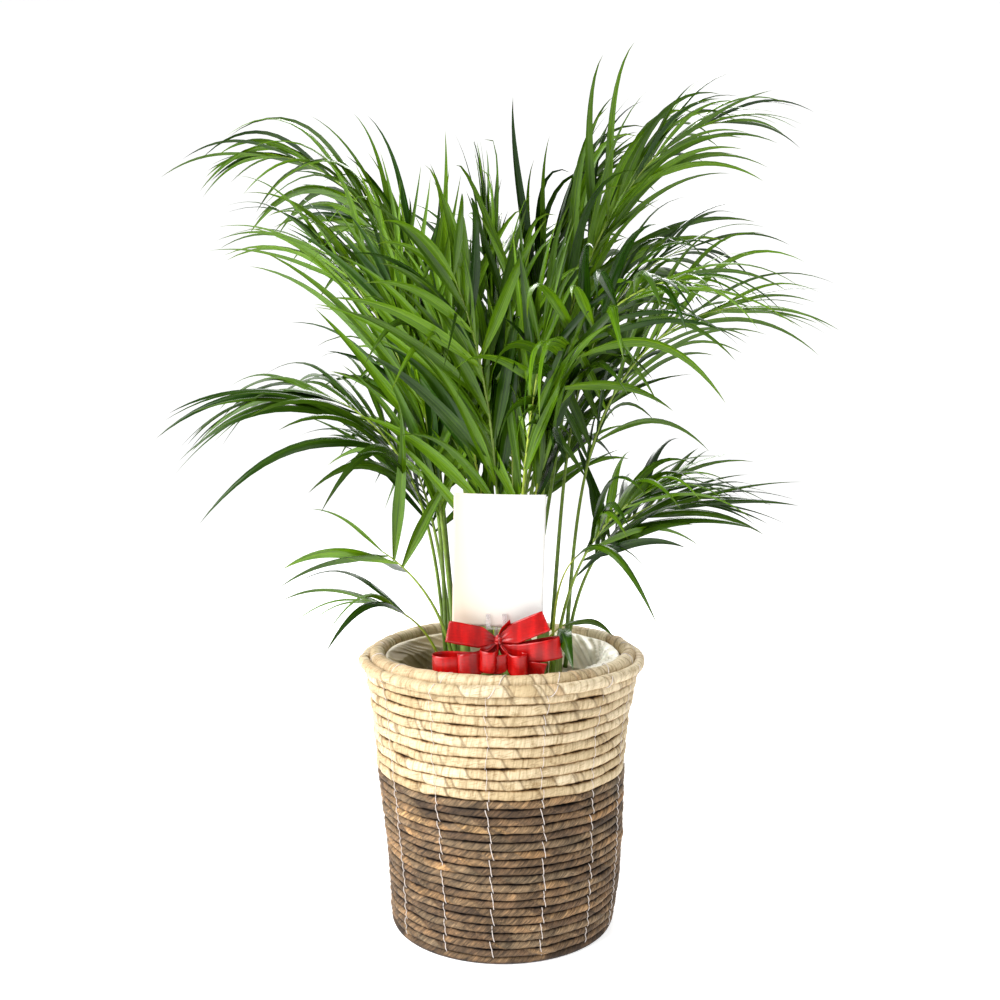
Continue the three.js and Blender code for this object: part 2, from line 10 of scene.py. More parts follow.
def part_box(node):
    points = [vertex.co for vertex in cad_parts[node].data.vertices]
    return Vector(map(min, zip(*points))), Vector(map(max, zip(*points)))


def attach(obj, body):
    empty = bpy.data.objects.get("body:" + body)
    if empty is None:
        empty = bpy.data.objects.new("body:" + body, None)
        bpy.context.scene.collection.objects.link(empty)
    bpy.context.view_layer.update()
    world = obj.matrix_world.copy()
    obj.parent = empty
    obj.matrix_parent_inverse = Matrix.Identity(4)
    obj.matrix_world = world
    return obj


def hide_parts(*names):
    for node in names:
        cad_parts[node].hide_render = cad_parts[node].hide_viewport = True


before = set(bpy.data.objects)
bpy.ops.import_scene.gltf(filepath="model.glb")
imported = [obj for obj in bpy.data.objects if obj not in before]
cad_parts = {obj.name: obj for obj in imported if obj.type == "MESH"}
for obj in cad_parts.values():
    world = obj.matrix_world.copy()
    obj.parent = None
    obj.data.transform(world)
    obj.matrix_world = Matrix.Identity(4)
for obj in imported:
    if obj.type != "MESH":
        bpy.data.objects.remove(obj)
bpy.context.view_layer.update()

# Brown band of the basket. Rows of dry banana leaf, twisted round a core and laid one on
# another from the foot to a little over half way up, each stitched to the row below.
MM = 0.001
foot_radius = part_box("basket_base")[1][1]
base_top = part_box("basket_base")[1][2]
band_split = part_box("basket_natural_band")[0][2]
wall_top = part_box("basket_natural_band")[1][2]
top_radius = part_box("basket_natural_band")[1][1]
WALL_SWELL = 0.8
WALL_HOLLOW = 1.5 * MM
TURN_OUT = 6 * MM
TURN_OUT_FROM = 0.76
TURN_OUT_OVER = 0.22
HAND_LAID = 2.5 * MM
COIL_HALF_OUT = 5.5 * MM
BROWN_ROWS = 19
BROWN_FIBRES_AT = 143 * MM
TWISTS = 104
NEXT_WRAP = 40.0


def wall_radius(z):
    """Outer radius of the wall, which widens upwards and turns out to meet the rim."""
    share = np.maximum(z, 0) / wall_top
    widened = foot_radius + (top_radius - foot_radius) * share ** WALL_SWELL
    hollow = WALL_HOLLOW * np.sin(math.pi * share)
    return widened - hollow + TURN_OUT * np.clip((share - TURN_OUT_FROM) / TURN_OUT_OVER, 0, 1) ** 1.5


def wall_middle(z):
    """How far the rows lie to one side of the middle, because they are laid by hand."""
    return HAND_LAID * np.sin(2 * math.pi * np.clip(z / wall_top, 0, 1))


def coil_rows(rows, steps, sides):
    """Coils stacked one above another: a small circle is spun once round the basket, and the
    ring is copied for each row. Row i lies at height i, at radius 1, with a section of 0.1."""
    ring = bmesh.new()
    place = Matrix.Translation((1, 0, 0)) @ Matrix.Rotation(math.pi / 2, 4, "X")
    section = bmesh.ops.create_circle(ring, segments=sides, radius=0.1, matrix=place)["verts"]
    edges = list({edge for vert in section for edge in vert.link_edges})
    bmesh.ops.spin(ring, geom=section + edges, cent=(0, 0, 0), axis=(0, 0, 1),
                   angle=2 * math.pi, steps=steps, use_merge=True)
    pattern = bpy.data.meshes.new("ring")
    ring.to_mesh(pattern)
    ring.free()
    bm = bmesh.new()
    for i in range(rows):
        bm.from_mesh(pattern)
        bmesh.ops.translate(bm, verts=bm.verts[-len(pattern.vertices):], vec=(0, 0, i))
        bm.verts.index_update()
    bpy.data.meshes.remove(pattern)
    return bm


def piece(name, bm, *materials, smooth=True):
    """Turns a bmesh into an object at the origin with its faces pointing outwards."""
    bmesh.ops.recalc_face_normals(bm, faces=bm.faces[:])
    mesh = bpy.data.meshes.new(name)
    bm.to_mesh(mesh)
    bm.free()
    return shown(name, mesh, *materials, smooth=smooth)


def shown(name, mesh, *materials, smooth=True):
    for material in materials:
        mesh.materials.append(material)
    mesh.polygons.foreach_set("use_smooth", [smooth] * len(mesh.polygons))
    thing = bpy.data.objects.new(name, mesh)
    bpy.context.scene.collection.objects.link(thing)
    return thing


def points_of(mesh):
    flat = np.empty(len(mesh.vertices) * 3)
    mesh.vertices.foreach_get("co", flat)
    return flat.reshape(-1, 3)


def move_points(mesh, points):
    mesh.vertices.foreach_set("co", np.ascontiguousarray(points, dtype=np.float32).ravel())
    mesh.update()


def coil_places(mesh):
    """For each point of spun rows: its angle round the basket, its row, and its angle round
    the row's own section."""
    points = points_of(mesh)
    turn = np.arctan2(points[:, 1], points[:, 0])
    row = np.rint(points[:, 2]).astype(int)
    side = np.arctan2(points[:, 2] - row, np.hypot(points[:, 0], points[:, 1]) - 1)
    return turn, row, side


def around(turn, radius, z):
    """Points at an angle round the upright axis, a radius from it and a height."""
    return np.stack([np.cos(turn) * radius, np.sin(turn) * radius, z], -1)


def paint(mesh, name, values):
    """Keeps one number for each point of the mesh, which its material reads."""
    layer = mesh.attributes.new(name, "FLOAT", "POINT")
    layer.data.foreach_set("value", np.ascontiguousarray(values, dtype=np.float32))


def ripple(turn, row, counts, seed):
    """Smooth uneven waves round each row, which join up where the row closes."""
    phases = np.random.default_rng(seed).uniform(0, 2 * np.pi, (row.max() + 1, len(counts)))
    waves = [np.sin(count * turn + phases[row, i]) for i, count in enumerate(counts)]
    return sum(waves) / len(counts)


def wrap_round(turn, row, count, seed):
    """Splits each row into uneven wraps: gives each point its wrap's own number from 0 to 1
    and how near it lies to the seam between two wraps, as an angle."""
    rng = np.random.default_rng(seed)
    own = np.zeros(len(turn))
    near = np.full(len(turn), 10.0)
    for i in range(row.max() + 1):
        seams = np.sort(rng.uniform(0, 2 * np.pi, count))
        tones = rng.uniform(0, 1, count)
        here = row == i
        place = turn[here] % (2 * np.pi)
        after = np.searchsorted(seams, place) % count
        own[here] = tones[after]
        gaps = np.abs(place[:, None] - seams[None, :])
        near[here] = np.minimum(gaps, 2 * np.pi - gaps).min(axis=1)
    return own, near


def new_material(name, roughness, **constants):
    """A Principled material, with its constants set straight on the shader's sockets."""
    material = bpy.data.materials.new(name)
    material.use_nodes = True
    shader = material.node_tree.nodes["Principled BSDF"]
    shader.inputs["Roughness"].default_value = roughness
    for socket, value in constants.items():
        shader.inputs[socket.replace("_", " ")].default_value = value
    return material


def feed(material, socket, value):
    if isinstance(value, bpy.types.NodeSocket):
        material.node_tree.links.new(value, socket)
    else:
        socket.default_value = value


def add(material, kind, output, **sockets):
    """Adds a node, feeds its sockets by name and gives back one of its outputs."""
    node = material.node_tree.nodes.new("ShaderNode" + kind)
    for name, value in sockets.items():
        feed(material, node.inputs[name.replace("_", " ")], value)
    return node.outputs[output]


def attribute(material, name):
    """One of the numbers that paint keeps for the points of the mesh."""
    node = material.node_tree.nodes.new("ShaderNodeAttribute")
    node.attribute_name = name
    return node.outputs["Fac"]


def noise(material, scale, **sockets):
    """Noise by place on the object, with one scale or with one for each axis."""
    place = add(material, "TexCoord", "Object")
    if isinstance(scale, tuple):
        place = add(material, "Mapping", 0, Vector=place, Scale=scale)
        scale = 1.0
    return add(material, "TexNoise", 0, Vector=place, Scale=scale, **sockets)


def reckon(material, operation, first, second=0.0):
    node = material.node_tree.nodes.new("ShaderNodeMath")
    node.operation = operation
    feed(material, node.inputs[0], first)
    feed(material, node.inputs[1], second)
    return node.outputs[0]


def ramp(material, amount, *stops):
    """A colour ramp through (place, colour) stops."""
    node = material.node_tree.nodes.new("ShaderNodeValToRGB")
    elements = node.color_ramp.elements
    while len(elements) < len(stops):
        elements.new(0.5)
    for element, (place, colour) in zip(elements, stops):
        element.position = place
        element.color = (*colour, 1)
    feed(material, node.inputs[0], amount)
    return node.outputs[0]


def blend_colours(material, amount, first, second, way):
    node = material.node_tree.nodes.new("ShaderNodeMix")
    node.data_type = "RGBA"
    node.blend_type = way
    feed(material, node.inputs[0], amount)
    feed(material, node.inputs[6], first)
    feed(material, node.inputs[7], second)
    return node.outputs[2]


def stain(material, colour, amount, tint):
    """Lays a tint over a colour by an amount."""
    return blend_colours(material, amount, colour, (*tint, 1), "MIX")


def shade(material, colour, amount, *stops):
    """Darkens and lightens a colour by a ramp through (place, colour) stops."""
    return blend_colours(material, 1.0, colour, ramp(material, amount, *stops), "MULTIPLY")


def finish(material, colour, height, strength, distance):
    """Feeds the shader its colour and a bump from a height."""
    shader = material.node_tree.nodes["Principled BSDF"]
    feed(material, shader.inputs["Base Color"], colour)
    bump = add(material, "Bump", 0, Strength=strength, Distance=distance, Height=height)
    feed(material, shader.inputs["Normal"], bump)


def fibres(material, radius, degrees, along, across, detail):
    """Fibres laid over a coil at a tilt, by place round the basket and height up it, with a
    stretch of noise of its own for each wrap."""
    place = add(material, "TexCoord", "Object")
    split = material.node_tree.nodes.new("ShaderNodeSeparateXYZ")
    feed(material, split.inputs[0], place)
    behind = reckon(material, "MULTIPLY", split.outputs[1], -1.0)
    arc = reckon(material, "MULTIPLY", reckon(material, "ARCTAN2", split.outputs[0], behind), radius)
    up = split.outputs[2]
    tilt = math.radians(degrees)
    cosine, sine = math.cos(tilt), math.sin(tilt)
    run = reckon(material, "ADD", reckon(material, "MULTIPLY", arc, cosine * along),
                 reckon(material, "MULTIPLY", up, sine * along))
    rise = reckon(material, "SUBTRACT", reckon(material, "MULTIPLY", up, cosine * across),
                  reckon(material, "MULTIPLY", arc, sine * across))
    own = reckon(material, "MULTIPLY", attribute(material, "tone"), NEXT_WRAP)
    flat = add(material, "CombineXYZ", 0, X=run, Y=rise, Z=own)
    return add(material, "TexNoise", 0, Vector=flat, Scale=1.0, Detail=detail, Roughness=0.6)


def groove_shade(material):
    """Painted shade between rows: how deep a point lies in the groove between two rows, with ragged edges.
    """
    ragged = reckon(material, "SUBTRACT", noise(material, 130.0, Detail=3.0), 0.5)
    return reckon(material, "ADD", attribute(material, "groove"), reckon(material, "MULTIPLY", ragged, 0.55))


def brown_leaf_material():
    """Dry banana leaf: dull brown strips from grey to orange, with a dark line of painted shade between
    rows.
    """
    material = new_material("brown_leaf_coil", 0.7, Specular_IOR_Level=0.3)
    colour = ramp(material, attribute(material, "tone"),
                  (0.0, (0.052, 0.032, 0.018)), (0.25, (0.097, 0.062, 0.035)),
                  (0.5, (0.145, 0.093, 0.050)), (0.7, (0.152, 0.112, 0.069)),
                  (0.88, (0.230, 0.140, 0.066)), (1.0, (0.390, 0.280, 0.140)))
    patches = noise(material, 40.0, Detail=4.0, Roughness=0.65)
    colour = shade(material, colour, patches,
                   (0.34, (0.60, 0.60, 0.58)), (0.5, (1, 1, 1)), (0.66, (1.45, 1.38, 1.30)))
    strands = fibres(material, BROWN_FIBRES_AT, 38, 45, 420, 4.0)
    colour = shade(material, colour, strands,
                   (0.34, (0.42, 0.39, 0.37)), (0.47, (0.92, 0.90, 0.88)), (0.62, (1.55, 1.50, 1.42)))
    fine = fibres(material, BROWN_FIBRES_AT, 50, 60, 1100, 2.0)
    colour = shade(material, colour, fine, (0.36, (0.60, 0.57, 0.54)), (0.62, (1.34, 1.32, 1.28)))
    # Painted shade: a little lighter on each row's crown and dark into the grooves between rows.
    colour = shade(material, colour, groove_shade(material),
                   (0.0, (1.08, 1.08, 1.08)), (0.62, (0.92, 0.90, 0.88)),
                   (0.80, (0.45, 0.41, 0.38)), (0.92, (0.05, 0.032, 0.020)))
    finish(material, colour, strands, 0.8, 1.0 * MM)
    return material


def lay_rows(mesh, bottom, pitch, wraps, seed, slant, wander, step, fit, ridge=0.0):
    """Gives spun rows their uneven run, thickness, wraps and twist, and paints their tones, their seams and
    the painted shade of their grooves.
    Slant leans the wraps, wander is how far a row strays, step is how far one wrap stands above
    the next, fit is a row's half height as a share of the pitch, and ridge its twisted edges."""
    turn, row, side = coil_places(mesh)
    middle_z = bottom + (row + 0.5) * pitch
    middle_r = wall_radius(middle_z) - COIL_HALF_OUT
    out = COIL_HALF_OUT * np.sign(np.cos(side)) * np.abs(np.cos(side)) ** 0.75
    rise = fit * pitch * np.sin(side)
    own, near = wrap_round(turn + slant * side, row, wraps, seed)
    swell = 1 + step * (own - 0.5) + 0.04 * ripple(turn, row, (5, 11, 17), seed + 1)
    swell += 0.05 * ripple(turn + 0.1 * side, row, (43, 71, 97), seed + 6)
    swell -= 0.05 * np.exp(-(near / 0.012) ** 2)
    swell += ridge * np.sin(TWISTS * turn + 1.2 * side + row * 2.1)
    radius = middle_r + out * swell + wander * 1.4 * ripple(turn, row, (3, 7, 13), seed + 2)
    height = middle_z + rise * swell + wander * ripple(turn, row, (4, 9, 15), seed + 3)
    laid = around(turn, radius, height)
    laid[:, 0] += wall_middle(middle_z)
    move_points(mesh, laid)
    row_tone = np.random.default_rng(seed + 4).uniform(0, 1, row.max() + 1)
    paint(mesh, "tone", np.clip(0.72 * own + 0.28 * row_tone[row], 0, 1))
    paint(mesh, "seam", np.exp(-(near / 0.009) ** 2))
    # Painted shade: darker towards the groove above and below each row.
    paint(mesh, "groove", np.abs(np.sin(side)))


brown_pitch = (band_split - base_top) / BROWN_ROWS
brown_leaf = brown_leaf_material()
brown_band = piece("brown_band", coil_rows(BROWN_ROWS, 420, 12), brown_leaf)
lay_rows(brown_band.data, base_top, brown_pitch, wraps=30, seed=11, slant=0.06, wander=0.8 * MM,
         step=0.14, fit=0.515, ridge=0.025)
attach(brown_band, "root")
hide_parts("basket_brown_band")

# Core of the wall. The same leaf, in a shell just behind the middle of the rows, painted all over in the
# darkest groove shade, so that it shows only as a dark line of painted shadow where two rows stand a little
# apart.
core_bm = bmesh.new()
core_line = [core_bm.verts.new((wall_radius(z) - COIL_HALF_OUT - 2 * MM, 0, z))
             for z in np.linspace(base_top, wall_top - 4 * MM, 12)]
core_edges = [core_bm.edges.new(pair) for pair in zip(core_line, core_line[1:])]
bmesh.ops.spin(core_bm, geom=core_line + core_edges, cent=(0, 0, 0), axis=(0, 0, 1),
               angle=2 * math.pi, steps=96, use_merge=True)
wall_shadow_core = piece("wall_shadow_core", core_bm, brown_leaf)
# Painted shadow: the darkest tone and the full groove shade.
paint(wall_shadow_core.data, "tone", np.zeros(len(wall_shadow_core.data.vertices)))
paint(wall_shadow_core.data, "groove", np.ones(len(wall_shadow_core.data.vertices)))
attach(wall_shadow_core, "root")

# Foot of the basket. The same twisted leaf goes on in flat rings from the wall to the middle
# of the base, so the underside is a coiled disc that stands on the ground.
FOOT_RINGS = 13
foot = piece("basket_foot", coil_rows(FOOT_RINGS, 270, 8), brown_leaf)
foot_turn, foot_ring, foot_side = coil_places(foot.data)
ring_pitch = foot_radius / FOOT_RINGS
foot_out = (foot_ring + 0.5) * ring_pitch + 0.5 * ring_pitch * np.cos(foot_side)
foot_up = base_top / 2 * (1 + np.sin(foot_side))
move_points(foot.data, around(foot_turn, foot_out, foot_up))
foot_tone, _ = wrap_round(foot_turn, foot_ring, count=12, seed=31)
paint(foot.data, "tone", 0.6 * foot_tone)
# Painted shade: the inner rings darken where they meet, and the outer ring darkens on its underside towards
# the floor as a contact shadow.
outer_ring_floor_shade = 0.65 - 0.35 * np.sin(foot_side)
paint(foot.data, "groove", np.where(foot_ring < FOOT_RINGS - 1, np.abs(np.cos(foot_side)), outer_ring_floor_shade))
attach(foot, "root")
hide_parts("basket_base")

# Natural band of the basket. Thicker rows of pale maize husk, wrapped round the core in
# short overlapping lengths, with a dark line where one length ends and the next begins.
NATURAL_ROWS = 10
NATURAL_FIBRES_AT = 154 * MM


def natural_husk_material():
    """Pale maize husk: cream to straw, finely creased across, brown in the seams, with painted shade that
    darkens the grooves between rows.
    """
    material = new_material("natural_husk_coil", 0.6, Specular_IOR_Level=0.3)
    colour = ramp(material, attribute(material, "tone"),
                  (0.0, (0.42, 0.31, 0.165)), (0.3, (0.49, 0.385, 0.23)),
                  (0.7, (0.57, 0.465, 0.30)), (0.9, (0.61, 0.515, 0.355)), (1.0, (0.50, 0.37, 0.22)))
    strands = fibres(material, NATURAL_FIBRES_AT, 80, 35, 360, 5.0)
    colour = shade(material, colour, strands,
                   (0.30, (0.60, 0.53, 0.42)), (0.46, (0.93, 0.91, 0.87)), (0.66, (1.15, 1.16, 1.17)))
    flecks = fibres(material, NATURAL_FIBRES_AT, 12, 90, 700, 3.0)
    colour = shade(material, colour, flecks,
                   (0.30, (0.66, 0.59, 0.48)), (0.44, (1, 1, 1)), (0.66, (1.08, 1.08, 1.08)))
    stains = noise(material, 46.0, Detail=6.0, Roughness=0.7)
    colour = shade(material, colour, stains,
                   (0.30, (0.56, 0.47, 0.34)), (0.44, (1, 1, 1)), (0.66, (1.08, 1.08, 1.10)))
    seam = reckon(material, "MULTIPLY", attribute(material, "seam"), 0.7)
    colour = stain(material, colour, seam, (0.17, 0.11, 0.05))
    # Painted shade: a little lighter on each row's crown and dark into the grooves between rows.
    colour = shade(material, colour, groove_shade(material),
                   (0.0, (1.03, 1.03, 1.03)), (0.62, (0.97, 0.95, 0.92)),
                   (0.80, (0.56, 0.44, 0.30)), (0.93, (0.09, 0.05, 0.025)))
    finish(material, colour, strands, 0.8, 0.9 * MM)
    return material


natural_pitch = (wall_top - band_split) / NATURAL_ROWS
natural_husk = natural_husk_material()
natural_band = piece("natural_band", coil_rows(NATURAL_ROWS, 540, 14), natural_husk)
lay_rows(natural_band.data, band_split, natural_pitch, wraps=26, seed=57, slant=0.02,
         wander=1.2 * MM, step=0.16, fit=0.545)
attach(natural_band, "root")
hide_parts("basket_natural_band")

# Rim. The wall ends in two coils of the same husk side by side, the inner one thicker and
# higher. Each is thinner where it ends, and the outer one stands out a little there.
RIM_RADII = np.array([161.5, 148.5]) * MM
RIM_HALVES = np.array([6.5, 9.0]) * MM
RIM_DROPS = np.array([14.5, 9.0]) * MM
RIM_END = math.radians(186)
RIM_ENDS_APART = 2.9
RIM_HUMP = 3 * MM
RIM_HUMP_AT = 2.0
RIM_WRAPS = 36
STITCH_LINES = 15
STITCH_START = math.radians(-96)
rim_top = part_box("basket_rim")[1][2]
rim = piece("rim_coils", coil_rows(2, 640, 16), natural_husk)
rim_turn, rim_row, rim_side = coil_places(rim.data)
rim_own, rim_near = wrap_round(rim_turn + 0.02 * rim_side, rim_row, RIM_WRAPS, seed=77)
from_end = ((rim_turn - RIM_END - rim_row * RIM_ENDS_APART) % (2 * math.pi)) / (2 * math.pi)
flare = np.exp(-from_end / 0.05)
rim_swell = 0.98 + 0.10 * (rim_own - 0.5) + 0.06 * ripple(rim_turn, rim_row, (9, 21, 33), 78)
rim_swell -= 0.08 * np.exp(-(rim_near / 0.01) ** 2) + 0.4 * np.exp(-from_end / 0.006)
stitch_gap = 2 * math.pi / STITCH_LINES
from_stitch = (rim_turn - STITCH_START + stitch_gap / 2) % stitch_gap - stitch_gap / 2
rim_swell -= 0.05 * np.exp(-(from_stitch / 0.012) ** 2)
rim_half = RIM_HALVES[rim_row] * rim_swell
rim_out = RIM_RADII[rim_row] + rim_half * np.cos(rim_side)
rim_out += 1.0 * MM * ripple(rim_turn, rim_row, (2, 5, 9), 79) + (1 - rim_row) * 4 * MM * flare
rim_up = rim_top - RIM_DROPS[rim_row] + rim_half * np.sin(rim_side)
rim_up += 0.8 * MM * ripple(rim_turn, rim_row, (3, 7), 80) + (1 - rim_row) * 3.5 * MM * flare
rim_up += RIM_HUMP * np.exp(-((rim_turn - RIM_HUMP_AT) / 0.5) ** 2)
move_points(rim.data, around(rim_turn, rim_out, rim_up))
paint(rim.data, "tone", np.clip(rim_own + 0.15, 0, 1))
paint(rim.data, "seam", np.exp(-(rim_near / 0.007) ** 2))
# Painted shade: each rim coil is darker on its underside, where it sits on the coil below or beside it.
paint(rim.data, "groove", 0.86 * np.clip(-np.sin(rim_side + rim_row * 0.4), 0, 1))
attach(rim, "root")
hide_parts("basket_rim")

# Stitching. Off-white thread binds the rim and ties every row to the one below, along fifteen
# upright lines, with a short stitch that lies over each row.
STITCH_POINTS = 7
STITCH_SUNK = 0.8 * MM
THREAD = 0.45 * MM
THREAD_SIDES = 6


def tube_faces(rings, sides):
    """Faces of a tube with closed ends, whose rings follow one another in the points."""
    ring = np.arange(sides)
    step = np.arange(rings - 1)[:, None] * sides
    near, far = step + ring, step + (ring + 1) % sides
    walls = np.stack([near, far, far + sides, near + sides], 2).reshape(-1, 4)
    fan = np.stack([np.zeros(sides - 2, int), ring[2:], ring[1:-1]], 1)
    ends = np.concatenate([fan, fan[:, ::-1] + (rings - 1) * sides])
    return walls, ends


def unit(vectors):
    return vectors / np.linalg.norm(vectors, axis=-1, keepdims=True)


def tube_points(line, across, radii, sides, flat=1.0):
    """Rings of points round a line. Across is one direction square to each point's run."""
    run = unit(np.gradient(line, axis=0))
    first = unit(across - run * (across * run).sum(1, keepdims=True))
    second = np.cross(run, first)
    turn = np.arange(sides) / sides * 2 * np.pi
    wide = np.cos(turn)[None, :, None] * first[:, None, :]
    tall = np.sin(turn)[None, :, None] * second[:, None, :] * flat
    return (line[:, None, :] + (wide + tall) * np.asarray(radii)[:, None, None]).reshape(-1, 3)


def joined(name, parts, material):
    """One mesh from many small parts: each has points, sets of faces, and the values that its
    points carry for the material to read."""
    points = np.concatenate([part["points"] for part in parts])
    starts = np.cumsum([0] + [len(part["points"]) for part in parts])
    corners, sizes = [], []
    for part, start in zip(parts, starts):
        for faces in part["faces"]:
            corners.append((faces + start).ravel())
            sizes.append(np.full(len(faces), faces.shape[1]))
    corners, sizes = np.concatenate(corners), np.concatenate(sizes)
    mesh = bpy.data.meshes.new(name)
    mesh.vertices.add(len(points))
    mesh.vertices.foreach_set("co", points.astype(np.float32).ravel())
    mesh.loops.add(len(corners))
    mesh.loops.foreach_set("vertex_index", corners.astype(np.int32))
    mesh.polygons.add(len(sizes))
    mesh.polygons.foreach_set("loop_start", (np.cumsum(sizes) - sizes).astype(np.int32))
    mesh.update(calc_edges=True)
    for value in parts[0].get("values", {}):
        spread = [np.broadcast_to(part["values"][value], len(part["points"])) for part in parts]
        paint(mesh, value, np.concatenate(spread))
    return shown(name, mesh, material)


def on_wall(turn, z, out):
    """A point of the wall, a little way out from its rows."""
    radius = wall_radius(z) - COIL_HALF_OUT + out
    return around(turn, radius, z) + np.multiply.outer(wall_middle(z), (1, 0, 0))


def thread_along(line, across, width):
    """A round thread along a line of points."""
    points = tube_points(line, across, np.full(len(line), width), THREAD_SIDES)
    return {"points": points, "faces": tube_faces(len(line), THREAD_SIDES)}


def stitch(turn, low, high, lean, bulge, width=THREAD):
    """One stitch over a row: a short thread that dips into the groove above and below."""
    share = np.linspace(0, 1, STITCH_POINTS)
    out = COIL_HALF_OUT - STITCH_SUNK + bulge * np.sin(np.pi * share)
    line = on_wall(turn + lean * (share - 0.5), low + (high - low) * share, out)
    return thread_along(line, np.tile((0.01, 0.01, 1.01), (STITCH_POINTS, 1)), width)


def thread_material():
    material = new_material("off_white_thread", 0.7)
    twist = fibres(material, 150 * MM, 30, 900, 2500, 3.0)
    colour = ramp(material, twist, (0.3, (0.46, 0.40, 0.36)), (0.6, (0.74, 0.67, 0.63)))
    finish(material, colour, twist, 0.5, 0.2 * MM)
    return material


def over_rim(turn):
    """The thread that binds the rim: from the inside over both coils to the groove below."""
    over = []
    for coil, degrees in ((1, np.linspace(130, -20, 9)), (0, np.linspace(50, -75, 7))):
        side = np.radians(degrees)
        half = RIM_HALVES[coil] + 0.3 * MM
        over.append((RIM_RADII[coil] + half * np.cos(side), rim_top - RIM_DROPS[coil] + half * np.sin(side)))
    out, z = np.concatenate(over, axis=1)
    spot = turn + np.linspace(0.13, 0, len(out))
    return thread_along(around(spot, out, z), np.stack([-np.sin(spot), np.cos(spot), 0 * spot], -1), THREAD)


def stitches():
    """Along each upright line, the binding of the rim and a stitch over every row."""
    rng = random.Random(5)
    parts = []
    for i in range(STITCH_LINES):
        turn = STITCH_START + i * stitch_gap + rng.uniform(-0.02, 0.02)
        parts.append(over_rim(turn))
        for row in range(BROWN_ROWS):
            half = row % 2
            if half == 0:
                spot = turn + rng.uniform(-0.007, 0.007)
            lean = -0.004 - 0.016 * rng.random()
            low = base_top + row * brown_pitch
            parts.append(stitch(spot + lean * (half - 0.5), low, low + brown_pitch, lean, 1.6 * MM))
        for row in range(NATURAL_ROWS):
            low = band_split + row * natural_pitch
            spot = turn + rng.uniform(-0.012, 0.012)
            lean = rng.uniform(-0.03, 0.01)
            parts.append(stitch(spot, low, low + natural_pitch, lean, 1.8 * MM, 0.7 * THREAD))
    return parts


thread = thread_material()
stitching = joined("stitching", stitches(), thread)
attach(stitching, "root")

# Frayed husk. Thin dry strands that come loose from the pale coils, closest together in two
# tufts on the rim, one of them where its outer coil ends.
FRAYS = 90
FRAYS_AT_ENDS = 26
FRAY_POINTS = 5


def frayed_ends():
    """Short dry strands that stand off the husk: some in the two tufts, the rest all round."""
    rng = random.Random(8)
    parts = []
    share = np.linspace(0, 1, FRAY_POINTS)[:, None]
    for i in range(FRAYS):
        if i < FRAYS_AT_ENDS:
            turn = (RIM_END if i % 2 else RIM_END - RIM_ENDS_APART) + rng.uniform(-0.05, 0.12)
            start = on_wall(turn, rim_top - rng.uniform(8, 20) * MM, COIL_HALF_OUT + 5 * MM)
        else:
            turn = rng.uniform(0, 6.28)
            start = on_wall(turn, rng.uniform(band_split, wall_top), COIL_HALF_OUT - 0.5 * MM)
        stray = [rng.uniform(-1.5, 1.5), rng.uniform(-1.5, 1.5), rng.uniform(-1, 1)]
        way = unit(around(turn, 1, 0) + stray)
        line = start + way * share * rng.uniform(3, 9) * MM - np.array([0, 0, 2 * MM]) * share ** 2
        across = np.tile((0.3, 0.2, 1.0), (FRAY_POINTS, 1))
        points = tube_points(line, across, 0.28 * MM * (1.1 - share[:, 0]), 4)
        # The strands take a faint touch of the painted groove shade.
        parts.append({"points": points, "faces": tube_faces(FRAY_POINTS, 4),
                      "values": {"tone": rng.random(), "seam": 0.0, "groove": 0.3}})
    return parts


frays = joined("frayed_husk", frayed_ends(), natural_husk)
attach(frays, "root")

# Liner, nursery pot and soil. A clear film stands up inside the wall and slumps back over a
# black plastic pot, which is filled with a rough mix of peat and bark.
LINER_FOOT = 200 * MM
LINER_TOP = 321 * MM
LINER_RADIUS = 138 * MM
SLUMP_RADIUS = 118 * MM
SLUMP_TOP = 286 * MM
soil_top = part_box("soil")[1][2]
soil_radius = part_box("soil")[1][0]
CRUMBS = 2600
CRUMB_LAYER = 3 * MM
SOIL_SHOWN = 60 * MM


def film_material():
    """Soft film, dull khaki where it stands in its own shade and pale where it catches light."""
    material = new_material("crumpled_film", 0.36, IOR=1.45, Alpha=0.94)
    folds = noise(material, 16.0, Detail=3.0, Roughness=0.5, Distortion=1.2)
    colour = ramp(material, attribute(material, "lit"),
                  (0.1, (0.40, 0.30, 0.17)), (0.5, (0.90, 0.78, 0.56)), (1.0, (1.0, 0.95, 0.82)))
    colour = shade(material, colour, folds,
                   (0.38, (0.84, 0.82, 0.78)), (0.55, (1, 1, 1)), (0.64, (1.2, 1.2, 1.2)))
    finish(material, colour, folds, 0.4, 3 * MM)
    return material


def flat_sheet(along, across):
    """A grid from -1 to 1 both ways, as a mesh to be put into shape."""
    bm = bmesh.new()
    bmesh.ops.create_grid(bm, x_segments=along, y_segments=across, size=1)
    mesh = bpy.data.meshes.new("sheet")
    bm.to_mesh(mesh)
    bm.free()
    return mesh


def taken_up(mesh):
    """Takes a mesh up again as a bmesh, and drops the mesh."""
    bm = bmesh.new()
    bm.from_mesh(mesh)
    bpy.data.meshes.remove(mesh)
    return bm


